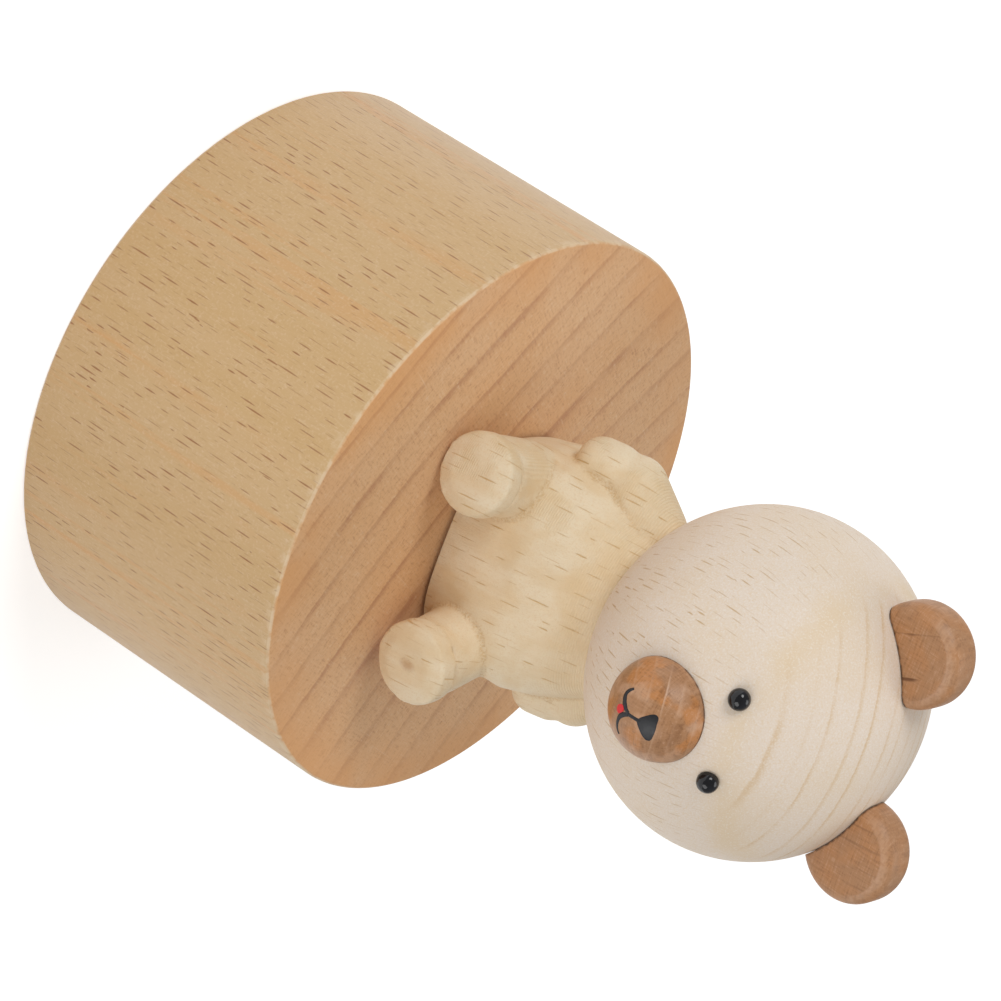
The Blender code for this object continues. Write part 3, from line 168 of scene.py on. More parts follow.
class HeadSettings(PropertyGroup):
    """Sizes and colours of the head, ears and muzzle."""

    ear_radius: size("Ear radius", 6.4 * MM, "Radius of an ear")
    ear_thickness: size("Ear thickness", 6.4 * MM, "From an ear's front to its back")
    ear_spread: size("Ear spread", 12.9 * MM, "From the middle to an ear's middle")
    ear_rise: size("Ear rise", 18.3 * MM, "From the head's middle up to an ear's")
    ear_setback: size("Ear setback", 2.8 * MM, "How far the ears stand behind the head's middle")
    ear_tilt: angle("Ear tilt", -3, "How far the pair of ears leans to one side")
    ear_shift: size("Ear shift", 0.5 * MM, "How far the pair of ears stands to one side")
    muzzle_radius: size("Muzzle radius", 6.3 * MM, "Radius of the muzzle's ball")
    muzzle_depth: size("Muzzle depth", 1.4 * MM, "How deep the muzzle's middle lies in the head")
    muzzle_rise: size("Muzzle rise", 0.4 * MM, "How far the muzzle's middle stands above the head's")
    eye_radius: size("Eye radius", 1.35 * MM, "Radius of an eye's bead")
    eye_spread: size("Eye spread", 5.5 * MM, "From the middle to an eye")
    eye_rise: size("Eye rise", 8.8 * MM, "From the head's middle up to an eye")
    eye_shift: size("Eye shift", -0.2 * MM, "How far the pair of eyes stands to one side")
    wood: tint("Wood", 236, 220, 203, "Pale wood of the head")
    wood_warm: tint("Warm wood", 232, 209, 176, "Soft patches of the head")
    wood_pale: tint("Pale specks", 243, 232, 220, "Fine pale specks of the head")
    ring: tint("Rings", 220, 188, 144, "Ring lines over the forehead")
    fleck: tint("Flecks", 202, 166, 116, "Rays on the cheeks and chin")
    stain: tint("Stain", 176, 129, 90, "Brown stain of the ears and muzzle")
    stain_warm: tint("Warm stain", 196, 132, 76, "Warmer patches of the stain")
    stain_dark: tint("Stain lines", 118, 76, 46, "Grain in the stained wood")
    # This pale stain also paints the highlight on the upper side of the ears' rims
    stain_pale_and_highlight: tint("Worn stain", 208, 166, 134, "Where the stain is rubbed pale")
    seam: tint("Seam", 70, 44, 24, "Where a stained piece meets the head")
    nose: tint("Nose paint", 20, 21, 26, "Paint of the nose and mouth")
    tongue: tint("Tongue paint", 222, 40, 44, "Paint of the tongue")
    paint: size("Paint", 0.05 * MM, "How thick the paint lies")


class MovementSettings(PropertyGroup):
    """Colours of the movement's metals and plastics."""

    steel: colour("Steel", (0.55, 0.56, 0.58), "Screws, shafts, comb and bracket")
    blued: colour("Spring steel", (0.20, 0.22, 0.26), "Mainspring and pawl")
    brass: colour("Brass", (0.75, 0.55, 0.24), "Drum, gears and bushes")
    cast: colour("Cast metal", (0.38, 0.36, 0.33), "The plate that carries the movement")
    nylon: colour("Nylon", (0.80, 0.79, 0.74), "Light gears and the fly")


class StageSettings(PropertyGroup):
    """Camera place, floor and light."""

    azimuth: angle("Azimuth", 25.3, "Side the camera looks from")
    elevation: angle("Elevation", 31.363, "Camera height as an angle")
    roll: angle("Roll", -122.85, "Turn of the camera about its view")
    floor: size("Floor", 1.6, "Width of the floor")
    floor_colour: colour("Floor colour", (0.80, 0.80, 0.80), "Pale floor")
    key: power("Key light", 3.3, "Power of the large soft lamp")
    fill: power("Fill light", 2.3, "Power of the lamp opposite")
    back: power("Back light", 1.4, "Power of the lamp behind")
    sky: FloatProperty(name="Sky", description="Strength of the even light all round", default=0.37, min=0)


def solid(name, bm):
    """A plain object with merged points and outward faces."""
    bmesh.ops.remove_doubles(bm, verts=bm.verts, dist=MERGE)
    bmesh.ops.recalc_face_normals(bm, faces=bm.faces)
    mesh = bpy.data.meshes.new(name)
    bm.to_mesh(mesh)
    bm.free()
    obj = bpy.data.objects.new(name, mesh)
    bpy.context.scene.collection.objects.link(obj)
    return obj


def settled(obj):
    """Applies every modifier of an object."""
    bpy.context.view_layer.update()
    evaluated = obj.evaluated_get(bpy.context.evaluated_depsgraph_get())
    mesh = bpy.data.meshes.new_from_object(evaluated)
    obj.modifiers.clear()
    obj.data = mesh
    return obj


def combined(obj, tool, operation="DIFFERENCE"):
    """Cuts, joins or crosses an object with a tool, which is used up."""
    cut = obj.modifiers.new("Cut", "BOOLEAN")
    cut.operation = operation
    cut.solver = "EXACT"
    cut.object = tool
    settled(obj)
    bpy.data.objects.remove(tool, do_unlink=True)
    return obj


def dressed(obj, material, body, slot, *nodes, sharp=35):
    """Shades a finished piece, gives it its material and hangs it on its body."""
    obj.data.shade_smooth()
    obj.data.set_sharp_from_angle(angle=radians(sharp))
    obj.data.materials.clear()
    obj.data.materials.append(material)
    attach(obj, body)
    if nodes:
        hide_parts(*nodes)
    return obj


def turned(name, profile, steps, closed=False):
    """A profile of (radius, height) spun about Z. An open profile starts and ends on the axis."""
    bm = bmesh.new()
    points = [bm.verts.new((radius, 0, height)) for radius, height in profile]
    pairs = list(zip(points, points[1:]))
    if closed:
        pairs.append((points[-1], points[0]))
    edges = [bm.edges.new(pair) for pair in pairs]
    bmesh.ops.spin(
        bm, geom=points + edges, cent=(0, 0, 0), axis=(0, 0, 1), angle=tau, steps=steps, use_merge=True
    )
    return solid(name, bm)


def round_corner(centre, radius, start, end, steps):
    """Points of an arc of a profile, between two angles."""
    turn = (end - start) / steps
    return [
        (centre[0] + radius * cos(start + turn * i), centre[1] + radius * sin(start + turn * i))
        for i in range(steps + 1)
    ]


def ball(bm, centre, sizes, across, up):
    """A ball or flattened ball with so many facets across and up."""
    place = Matrix.Translation(centre) @ Matrix.Diagonal((*sizes, 1))
    bmesh.ops.create_uvsphere(bm, u_segments=across, v_segments=up, radius=1, matrix=place)


def ball_form(name, centre, sizes, facets):
    """A ball as an object."""
    bm = bmesh.new()
    ball(bm, centre, sizes, *facets)
    return solid(name, bm)


def head_form(grow):
    """The head's flattened ball, grown by a gap where it hollows another piece."""
    return ball_form("head_form", HEAD_CENTRE, [value + grow for value in HEAD_SIZE], FINE_BALL)


def post(bm, start, end, start_radius, end_radius, steps):
    """A tapered rod with flat ends."""
    a = Vector(start)
    b = Vector(end)
    turn = (b - a).to_track_quat("Z", "Y").to_matrix().to_4x4()
    bmesh.ops.create_cone(
        bm,
        cap_ends=True,
        segments=steps,
        radius1=start_radius,
        radius2=end_radius,
        depth=(b - a).length,
        matrix=Matrix.Translation((a + b) / 2) @ turn,
    )


def drilled(obj, name, at, foot, top, radius, steps=HOLE_STEPS, operation="DIFFERENCE"):
    """Cuts an upright round hole in an object, or joins a round pillar to it."""
    bm = bmesh.new()
    post(bm, (at.x, at.y, foot), (at.x, at.y, top), radius, radius, steps)
    return combined(obj, solid(name, bm), operation)


def measured(node):
    """The middle of a CAD piece, half its width, and the heights of its two ends."""
    low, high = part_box(node)
    return (low + high) / 2, (high.x - low.x) / 2, low.z, high.z


class Nodes:
    """Adds nodes to a tree. A socket given as an input is linked, and any other value is set."""

    def __init__(self, tree):
        self.tree = tree

    def put(self, socket, value):
        """Links a socket, or sets its value."""
        if isinstance(value, bpy.types.NodeSocket):
            self.tree.links.new(value, socket)
        else:
            socket.default_value = value

    def add(self, kind, inputs=None, **settings):
        """A shader node with its settings made and its inputs filled."""
        node = self.tree.nodes.new(f"ShaderNode{kind}")
        for name, value in settings.items():
            setattr(node, name, value)
        for name, value in (inputs or {}).items():
            self.put(node.inputs[name], value)
        return node

    def worked(self, kind, operation, values, output):
        """What a node makes of several values."""
        return self.add(kind, dict(enumerate(values)), operation=operation).outputs[output]

    def math(self, operation, *values):
        return self.worked("Math", operation, values, 0)

    def vector(self, operation, *values):
        return self.worked("VectorMath", operation, values, "Vector")

    def times(self, first, *others):
        """The product of two values or more."""
        for value in others:
            first = self.math("MULTIPLY", first, value)
        return first

    def plus(self, first, *others):
        """A value with others added to it, each with its weight."""
        for value, weight in others:
            first = self.math("MULTIPLY_ADD", value, weight, first)
        return first

    def length(self, vector, weights=None):
        """The length of a vector, whose three parts may be weighed first."""
        if weights:
            vector = self.vector("MULTIPLY", vector, weights)
        return self.worked("VectorMath", "LENGTH", (vector,), "Value")

    def dot(self, first, second):
        return self.worked("VectorMath", "DOT_PRODUCT", (first, second), "Value")

    def split(self, vector):
        return self.add("SeparateXYZ", {"Vector": vector}).outputs

    def join(self, x, y=0.0, z=0.0):
        return self.add("CombineXYZ", {"X": x, "Y": y, "Z": z}).outputs[0]

    def turned(self, vector, degrees):
        """A place turned about Y, so that a grain along Z lies aslant."""
        return self.add("Mapping", {"Vector": vector, "Rotation": (0, radians(degrees), 0)}).outputs[0]

    def step(self, value, low, high, start=0.0, end=1.0):
        """A smooth step from start to end between two values."""
        inputs = {"Value": value, "From Min": low, "From Max": high, "To Min": start, "To Max": end}
        return self.add("MapRange", inputs, interpolation_type="SMOOTHSTEP").outputs["Result"]

    def noise(self, vector, scale, detail, roughness=0.5):
        """Soft noise from 0 to 1, its scale in waves a metre."""
        inputs = {"Vector": vector, "Scale": scale, "Detail": detail, "Roughness": roughness}
        return self.add("TexNoise", inputs).outputs["Fac"]

    def mix(self, share, first, second):
        """One value over another."""
        return self.add("Mix", {0: share, 2: first, 3: second}).outputs[0]

    def blend(self, share, first, second):
        """One colour over another. A plain colour is given as three numbers."""
        first, second = (
            shade if isinstance(shade, bpy.types.NodeSocket) else (*shade, 1) for shade in (first, second)
        )
        return self.add("Mix", data_type="RGBA", inputs={0: share, 6: first, 7: second}).outputs[2]

    def coats(self, ground, *coats):
        """Colours over one another. Each comes after a share, a value and its amount, or a value, the two
        ends of a smooth step over it and its amount."""
        for share, *rest, shade in coats:
            if len(rest) == 3:
                share = self.step(share, *rest[:2], 0.0, rest[2])
            elif rest:
                share = self.times(share, *rest)
            ground = self.blend(share, ground, shade)
        return ground

    def group(self, name, **inputs):
        """A shared effect with its own values."""
        node = self.add("Group", node_tree=bpy.data.node_groups[name])
        for label, value in inputs.items():
            self.put(node.inputs[label], value)
        return node.outputs

    def rings(self, vector, pith, spacing, wander):
        """Growth rings about a pith, all sizes in mm."""
        pith = [part * MM for part in pith]
        return self.group("growth_rings", Vector=vector, Pith=pith, Spacing=spacing * MM, Wander=wander * MM)

    def flecks(self, vector, spacing, pitch, width, length, amount, centre=(0, 0, 0)):
        """Rays that stand on edge towards a centre line, all sizes in mm."""
        sizes = zip(("Spacing", "Pitch", "Width", "Length"), (spacing, pitch, width, length))
        centre = [part * MM for part in centre]
        given = {label: value * MM for label, value in sizes}
        return self.group("ray_flecks", Vector=vector, Centre=centre, Amount=amount, **given)["Mask"]

    def fibre(self, vector, width, length):
        """Threads along Z, their sizes in mm."""
        return self.group("wood_fibre", Vector=vector, Width=width * MM, Length=length * MM)["Value"]


# A place on the axis, and what keeps only the level part of a place
ORIGIN = (0.0, 0.0, 0.0)
LEVEL = (1, 1, 0)


def new_group(name, inputs, outputs):
    """An empty node group, its first input a place. Returns its nodes, its inputs and its outputs."""
    tree = bpy.data.node_groups.new(name, "ShaderNodeTree")
    for label, default in {"Vector": ORIGIN, **inputs}.items():
        kind = "NodeSocketVector" if isinstance(default, tuple) else "NodeSocketFloat"
        tree.interface.new_socket(label, in_out="INPUT", socket_type=kind).default_value = default
    for label in outputs:
        tree.interface.new_socket(label, in_out="OUTPUT", socket_type="NodeSocketFloat")
    return Nodes(tree), tree.nodes.new("NodeGroupInput").outputs, tree.nodes.new("NodeGroupOutput").inputs


def growth_rings():
    """Rings about an upright pith: a thin soft line at each ring's end, and a slow rise of tone to it."""
    nodes, given, made = new_group(
        "growth_rings", {"Pith": ORIGIN, "Spacing": 5 * MM, "Wander": 1.5 * MM}, ("Line", "Tone")
    )
    place = given["Vector"]
    slow = nodes.math("SUBTRACT", nodes.noise(place, 34, 1), 0.5)
    fine = nodes.math("SUBTRACT", nodes.noise(place, 420, 1), 0.5)
    sway = nodes.plus(slow, (fine, 0.14))
    reach = nodes.length(nodes.vector("SUBTRACT", place, given["Pith"]), LEVEL)
    swayed = nodes.math("DIVIDE", nodes.plus(reach, (sway, given["Wander"])), given["Spacing"])
    along = nodes.join(nodes.times(swayed, 0.6))
    ring = nodes.plus(swayed, (nodes.noise(along, 1.0, 0), 0.9))
    share = nodes.math("FRACT", ring)
    number = nodes.math("FLOOR", ring)
    chance = nodes.add("TexWhiteNoise", {"W": number}, noise_dimensions="1D").outputs["Value"]
    fall = nodes.step(share, 0.93, 1.0, 1.0, 0.0)
    line = nodes.times(nodes.math("POWER", nodes.step(share, 0.62, 0.92), 2.2), fall)
    broken = nodes.step(nodes.noise(place, 150, 2), 0.36, 0.58, 0.35, 1.0)
    strength = nodes.times(nodes.math("MULTIPLY_ADD", chance, 0.6, 0.4), broken)
    nodes.put(made["Line"], nodes.times(line, strength))
    nodes.put(made["Tone"], nodes.times(nodes.step(share, 0.05, 0.9), fall))


def ray_flecks():
    """Short tapered dashes along Z, which stand on edge towards a centre line, as rays do in wood."""
    sizes = {"Spacing": 1.2 * MM, "Pitch": 4 * MM, "Width": 0.25 * MM, "Length": 2.4 * MM, "Amount": 0.8}
    nodes, given, made = new_group("ray_flecks", {"Centre": ORIGIN, **sizes}, ("Mask",))
    cell = nodes.join(given["Spacing"], given["Spacing"], given["Pitch"])
    place = nodes.vector("SUBTRACT", given["Vector"], given["Centre"])
    scaled = nodes.vector("DIVIDE", place, cell)
    dots = nodes.add("TexVoronoi", {"Vector": scaled, "Scale": 1.0})
    offset = nodes.vector("MULTIPLY", nodes.vector("SUBTRACT", scaled, dots.outputs["Position"]), cell)
    outward = nodes.vector("NORMALIZE", nodes.vector("MULTIPLY", place, LEVEL))
    sideways = nodes.vector("CROSS_PRODUCT", outward, (0, 0, 1))
    across = nodes.math("ABSOLUTE", nodes.dot(offset, sideways))
    picks = nodes.add("SeparateColor", {"Color": dots.outputs["Color"]}).outputs
    half = nodes.times(given["Length"], nodes.math("MULTIPLY_ADD", picks["Red"], 0.45, 0.25))
    thick = nodes.times(given["Width"], nodes.math("MULTIPLY_ADD", picks["Green"], 0.45, 0.35))
    reach = nodes.math("DIVIDE", nodes.split(offset)["Z"], half)
    taper = nodes.math("SUBTRACT", 1.0, nodes.times(reach, reach))
    inside = nodes.math("SUBTRACT", taper, nodes.math("DIVIDE", across, thick))
    kept = nodes.math("LESS_THAN", picks["Blue"], given["Amount"])
    strength = nodes.math("MULTIPLY_ADD", picks["Green"], 0.6, 0.4)
    nodes.put(made["Mask"], nodes.times(nodes.step(inside, 0.0, 0.7), kept, strength))


def wood_fibre():
    """Fine threads along Z, from 0 to 1. Where the length is less than the width they lie level instead."""
    nodes, given, made = new_group("wood_fibre", {"Width": 0.2 * MM, "Length": 6 * MM}, ("Value",))
    thread = nodes.join(given["Width"], given["Width"], given["Length"])
    nodes.put(made["Value"], nodes.noise(nodes.vector("DIVIDE", given["Vector"], thread), 1.0, 3, 0.6))


def cross_lines():
    """Fine lines away from the pith and fine lines round it, as a cut across the grain shows."""
    sizes = {"Reach": 174 * MM, "Width": 0.4 * MM, "Run": 7 * MM}
    nodes, given, made = new_group("cross_lines", {"Pith": ORIGIN, **sizes}, ("Rays", "Arcs"))
    place = nodes.vector("SUBTRACT", given["Vector"], given["Pith"])
    flat = nodes.split(place)
    round_it = nodes.times(nodes.math("ARCTAN2", flat["Y"], flat["X"]), given["Reach"])
    away = nodes.length(place, LEVEL)
    for label, fine, long in (("Rays", round_it, away), ("Arcs", away, round_it)):
        fine = nodes.math("DIVIDE", fine, given["Width"])
        long = nodes.math("DIVIDE", long, given["Run"])
        nodes.put(made[label], nodes.noise(nodes.join(fine, long), 1.0, 2, 0.6))


def brushed():
    """Fine scratches along X and soft stains, for metal."""
    nodes, given, made = new_group("brushed", {"Width": 0.12 * MM, "Run": 4 * MM}, ("Scratch", "Stain"))
    line = nodes.join(given["Run"], given["Width"], given["Width"])
    nodes.put(made["Scratch"], nodes.noise(nodes.vector("DIVIDE", given["Vector"], line), 1.0, 4, 0.7))
    nodes.put(made["Stain"], nodes.noise(given["Vector"], 260, 3, 0.6))


class Finish(Nodes):
    """The nodes of one material, with its surface shader's inputs, its places and its facing."""

    def __init__(self, name):
        self.material = bpy.data.materials.new(name)
        self.material.use_nodes = True
        super().__init__(self.material.node_tree)
        self.surface = self.tree.nodes["Principled BSDF"].inputs
        self.surface["IOR"].default_value = 1.45
        where = self.add("TexCoord").outputs
        self.place = where["Object"]
        self.facing = where["Normal"]

    def done(self, shade, roughness, height, depth, strength):
        """The material, once colour, roughness and a relief, its depth in mm, reach the surface."""
        bump = self.add("Bump", {"Height": height, "Distance": depth * MM, "Strength": strength})
        self.put(self.surface["Base Color"], shade)
        self.put(self.surface["Roughness"], roughness)
        self.put(self.surface["Normal"], bump.outputs["Normal"])
        return self.material


def turned_beech(settings):
    """Beech of the base: flecked along the grain on its side, ringed across the grain on its ends."""
    nodes = Finish("turned_beech")
    place = nodes.place
    pith = (108, 136, 0)
    cut = {"Vector": place, "Pith": [part * MM for part in pith]}
    rings = nodes.rings(place, pith, settings.ring_spacing / MM, 2.6)
    flecks = nodes.flecks(place, 1.35, 4.2, 0.2, 3.2, 0.9)
    ticks = nodes.flecks(place, 0.8, 2.0, 0.13, 1.3, 0.6)
    fibre = nodes.fibre(place, 0.13, 1.6)
    bands = nodes.fibre(place, 5, 120)
    streaks = nodes.fibre(place, 2.6, 70)
    weave = nodes.group("cross_lines", Width=0.26 * MM, Run=1.8 * MM, **cut)
    rays = nodes.group("cross_lines", Width=0.36 * MM, Run=22 * MM, **cut)["Rays"]
    mottle = nodes.noise(place, 75, 3)
    grit = nodes.noise(place, 3200, 2)

    seam = nodes.times(rings["Line"], nodes.step(streaks, 0.4, 0.65, 0.0, 0.6))
    side = nodes.coats(
        settings.side,
        (bands, 0.35, 0.65, 0.45, settings.side_warm),
        (streaks, 0.57, 0.68, 0.3, settings.glow),
        (seam, settings.glow),
        (fibre, 0.45, 0.25, 0.4, settings.rim),
        (fibre, 0.55, 0.8, 0.15, settings.fleck),
        (grit, 0.5, 0.75, 0.3, settings.rim),
        (ticks, 0.3, settings.fleck),
        (flecks, 0.9, settings.fleck),
    )

    threads = nodes.math("ADD", weave["Rays"], weave["Arcs"])
    long_ray = nodes.times(nodes.step(rays, 0.66, 0.76), nodes.step(mottle, 0.42, 0.6, 0.0, 0.5))
    out = nodes.length(place, LEVEL)
    glow = nodes.step(out, BASE_HIGH.x - 9 * MM, BASE_HIGH.x - 0.6 * MM, 0.0, 0.6)
    top = nodes.coats(
        settings.top,
        (mottle, 0.35, 0.65, 0.55, settings.top_warm),
        (rings["Tone"], 0.06, settings.ring),
        (rings["Line"], 0.7, settings.ring),
        (threads, 0.95, 0.7, 0.45, settings.ring),
        (threads, 1.06, 1.35, 0.4, settings.rim),
        (long_ray, settings.rim),
        (grit, 0.5, 0.25, 0.3, settings.ring),
        (glow, nodes.step(mottle, 0.3, 0.6, 0.3, 1.0), settings.glow),
    )

    upright = nodes.math("ABSOLUTE", nodes.split(nodes.facing)["Z"])
    across = nodes.step(upright, 0.35, 0.9)
    chips = nodes.noise(place, 700, 3)
    # Painted highlight in the rim colour along the rounded rims and in a band just below the top's rim,
    # broken up by noise
    edge = nodes.times(
        nodes.step(upright, 0.05, 0.4),
        nodes.step(upright, 0.8, 0.98, 1.0, 0.0),
        nodes.step(chips, 0.35, 0.6, 0.15, 0.75),
    )
    below = nodes.times(
        nodes.step(nodes.split(place)["Z"], BASE_HIGH.z - 1.6 * MM, BASE_HIGH.z - 0.3 * MM),
        nodes.step(upright, 0.1, 0.5, 1.0, 0.0),
        nodes.step(chips, 0.45, 0.65, 0.0, 0.5),
    )
    wood = nodes.coats(nodes.blend(across, side, top), (nodes.math("MAXIMUM", edge, below), settings.rim))
    nodes.surface["Sheen Weight"].default_value = 0.25
    height = nodes.mix(
        across, nodes.plus(grit, (fibre, 0.6), (flecks, -1.2)), nodes.math("ADD", threads, grit)
    )
    return nodes.done(wood, nodes.step(fibre, 0.2, 0.9, 0.42, 0.6), height, 0.04, 0.6)


def board_beech(settings):
    """Beech of the cover, cut along the grain, which runs along X."""
    nodes = Finish("board_beech")
    place = nodes.turned(nodes.place, 90)
    rings = nodes.rings(place, (60, 12, 0), 4, 4)
    flecks = nodes.flecks(place, 1.2, 4, 0.25, 2.4, 0.7, (30, 0, 0))
    fibre = nodes.fibre(place, 0.2, 6)
    wood = nodes.coats(
        settings.side,
        (rings["Line"], 0.7, settings.side_warm),
        (fibre, 0.5, 0.9, 0.5, settings.side_warm),
        (flecks, 0.8, settings.fleck),
    )
    height = nodes.plus(fibre, (flecks, -0.8))
    return nodes.done(wood, nodes.step(fibre, 0.2, 0.9, 0.45, 0.65), height, 0.03, 0.5)


def carved_wood(settings):
    """Pale wood of the body, with tool ridges, torn fibres and painted shade in its grooves, painted shade
    towards the neck, a few rays and a small knot.
    """
    nodes = Finish("carved_wood")
    place = nodes.turned(nodes.place, 7)
    flecks = nodes.flecks(place, 1.9, 5.0, 0.17, 3.6, 0.85, (34, 72, 0))
    fibre = nodes.fibre(place, 0.14, 1.8)
    bands = nodes.fibre(place, 3.6, 26)
    mottle = nodes.noise(place, 190, 3)
    speck = nodes.noise(place, 4200, 2)
    groove = nodes.add("Attribute", attribute_name="groove").outputs["Fac"]
    spot = nodes.split(nodes.place)

    pitch = 0.3 * MM
    swayed = nodes.math("ADD", spot["Z"], nodes.times(mottle, 0.5 * MM))
    turns = nodes.math("SINE", nodes.times(swayed, tau / pitch))
    neck = nodes.step(spot["Z"], BEAR_Z + 15 * MM, BEAR_Z + 21 * MM)
    flank = nodes.times(nodes.step(spot["X"], -4 * MM, -9 * MM), nodes.step(mottle, 0.42, 0.6))
    ridges = nodes.times(turns, nodes.math("MAXIMUM", neck, flank))
    # Darker the deeper a groove lies: torn fibres and painted shade
    torn_and_shaded = nodes.times(nodes.step(groove, 0.15, 0.8), nodes.step(speck, 0.35, 0.65, 0.3, 1.0))
    knot = nodes.vector("SUBTRACT", nodes.place, seated(settings) @ body_place(settings, SOLE, 1, True))
    knot = nodes.math("ADD", nodes.length(knot, (1, 0.3, 0.7)), nodes.times(speck, 0.8 * MM))
    wood = nodes.coats(
        settings.wood,
        (bands, 0.4, 0.68, 0.55, settings.wood_warm),
        (mottle, 0.5, 0.68, 0.5, settings.wood_warm),
        (fibre, 0.5, 0.8, 0.5, settings.wood_warm),
        (speck, 0.5, 0.75, 0.5, settings.wood_warm),
        # Painted shade, darker and warmer towards the neck under the head
        (neck, 0.35, settings.wood_warm),
        (ridges, 0.1, 1.0, 0.35, settings.wood_warm),
        (torn_and_shaded, 0.55, settings.fleck),
        (flecks, 0.85, settings.fleck),
        (knot, 1.5 * MM, 0.6 * MM, 0.6, settings.knot),
    )
    height = nodes.plus(fibre, (flecks, -0.8), (ridges, 0.35), (torn_and_shaded, -1.4), (speck, 0.8))
    return nodes.done(wood, nodes.step(speck, 0.2, 0.9, 0.46, 0.62), height, 0.07, 0.8)


def turned_maple(settings):
    """Pale wood of the head, with faint rings over the crown and rays low on the cheeks."""
    nodes = Finish("turned_maple")
    place = nodes.place
    rings = nodes.rings(place, (2.8, 37, 0), 2.6, 1.6)
    flecks = nodes.flecks(place, 1.45, 3.4, 0.17, 3.0, 0.9, HEAD_CENTRE / MM)
    fibre = nodes.fibre(place, 0.16, 1.2)
    speck = nodes.noise(place, 4600, 2)
    mottle = nodes.noise(place, 120, 3)
    level = nodes.math("SUBTRACT", nodes.split(place)["Z"], HEAD_CENTRE.z)
    low = nodes.step(level, 11 * MM, 1 * MM)
    brow = nodes.math("ABSOLUTE", nodes.math("SUBTRACT", level, 10.5 * MM))
    brow = nodes.times(nodes.step(brow, 3 * MM, 0), nodes.step(mottle, 0.35, 0.65, 0.1, 0.8))
    lines = nodes.times(
        rings["Line"], nodes.step(level, 10 * MM, 13 * MM, 0.0, 0.8), nodes.step(speck, 0.3, 0.6, 0.5, 1.0)
    )
    marks = nodes.times(flecks, low, 0.85)
    wood = nodes.coats(
        settings.wood,
        (mottle, 0.4, 0.7, 0.3, settings.wood_warm),
        (brow, settings.wood_warm),
        (speck, 0.5, 0.7, 0.6, settings.wood_warm),
        (speck, 0.47, 0.3, 0.6, settings.wood_pale),
        (lines, settings.ring),
        (fibre, 0.55, 0.85, 0.4, settings.ring),
        (marks, settings.fleck),
    )
    height = nodes.plus(nodes.math("ADD", fibre, speck), (marks, -0.8))
    return nodes.done(wood, nodes.step(speck, 0.2, 0.9, 0.5, 0.64), height, 0.03, 0.6)


def seam_shade(nodes, chips):
    """Dark close to the head's surface, where a piece is glued to it."""
    away = nodes.vector("SUBTRACT", nodes.place, HEAD_CENTRE)
    near = nodes.step(nodes.length(nodes.vector("DIVIDE", away, HEAD_SIZE)), 1.020, 1.008)
    return nodes.times(near, nodes.step(chips, 0.35, 0.6, 0.3, 0.85))


def stained_ear(name, settings, slant, lines):
    """Brown stain of an ear: slanted grain lines and a fine weave on its flat front, and a painted highlight
    on the upper side of its round rim.
    """
    nodes = Finish(name)
    place = nodes.place
    rings = nodes.rings(nodes.turned(place, slant), (90, 9, 0), 2.5, 0.9)
    upright = nodes.fibre(place, 0.26, 2.4)
    weave = nodes.math("ADD", upright, nodes.fibre(place, 2.4, 0.26))
    mottle = nodes.noise(place, 330, 3)
    chips = nodes.noise(place, 1500, 2)
    facing = nodes.split(nodes.facing)
    front = nodes.step(facing["Y"], -0.93, -0.985)
    rim = nodes.times(nodes.step(facing["Y"], -0.99, -0.95), nodes.step(facing["Y"], -0.5, -0.85))
    # Painted highlight: paler where the rim faces upwards, most where the flat front meets the round rim
    upper_rim_highlight = nodes.times(
        nodes.step(facing["Z"], -0.1, 0.3),
        nodes.math("MULTIPLY_ADD", rim, 0.4, 0.12),
        nodes.math("SUBTRACT", 1.0, front),
        nodes.step(chips, 0.35, 0.6, 0.5, 1.0),
    )
    wood = nodes.coats(
        settings.stain,
        (mottle, 0.35, 0.7, 0.45, settings.stain_warm),
        (weave, 1.0, 0.7, 0.4, settings.stain_dark),
        (weave, 1.03, 1.3, 0.45, settings.stain_pale_and_highlight),
        (nodes.times(nodes.step(rings["Line"], 0.2, 0.5), front), lines, settings.stain_dark),
        (upper_rim_highlight, settings.stain_pale_and_highlight),
        (seam_shade(nodes, chips), settings.seam),
    )
    rough = nodes.step(upright, 0.2, 0.9, 0.4, 0.56)
    return nodes.done(wood, rough, nodes.math("ADD", weave, chips), 0.03, 0.6)


def stained_muzzle(settings):
    """Brown stain of the muzzle: fine scratches across it and cloudy patches."""
    nodes = Finish("muzzle_stain")
    place = nodes.place
    parts = nodes.split(place)
    level = nodes.dot(place, (-0.05, 0.57, 0.82))
    rings = nodes.rings(nodes.join(level, parts["X"], parts["Y"]), (400, 0, 0), 1.9, 0.5)
    weave = nodes.math("ADD", nodes.fibre(place, 0.24, 1.8), nodes.fibre(place, 2.0, 0.24))
    clouds = nodes.noise(place, 330, 2)
    warmth = nodes.noise(place, 260, 2)
    chips = nodes.noise(place, 1500, 2)
    scratch = nodes.math("POWER", rings["Line"], 1.6)
    wood = nodes.coats(
        settings.stain,
        (warmth, 0.46, 0.58, 0.85, settings.stain_warm),
        (clouds, 0.52, 0.64, 0.5, settings.stain_pale_and_highlight),
        (clouds, 0.44, 0.34, 0.3, settings.stain_dark),
        (weave, 1.0, 0.68, 0.45, settings.stain_dark),
        (weave, 1.05, 1.35, 0.5, settings.stain_pale_and_highlight),
        (scratch, settings.stain_pale_and_highlight),
        (seam_shade(nodes, chips), settings.seam),
    )
    rough = nodes.step(clouds, 0.3, 0.7, 0.3, 0.46)
    return nodes.done(wood, rough, nodes.plus(weave, (scratch, 1.2)), 0.03, 0.6)


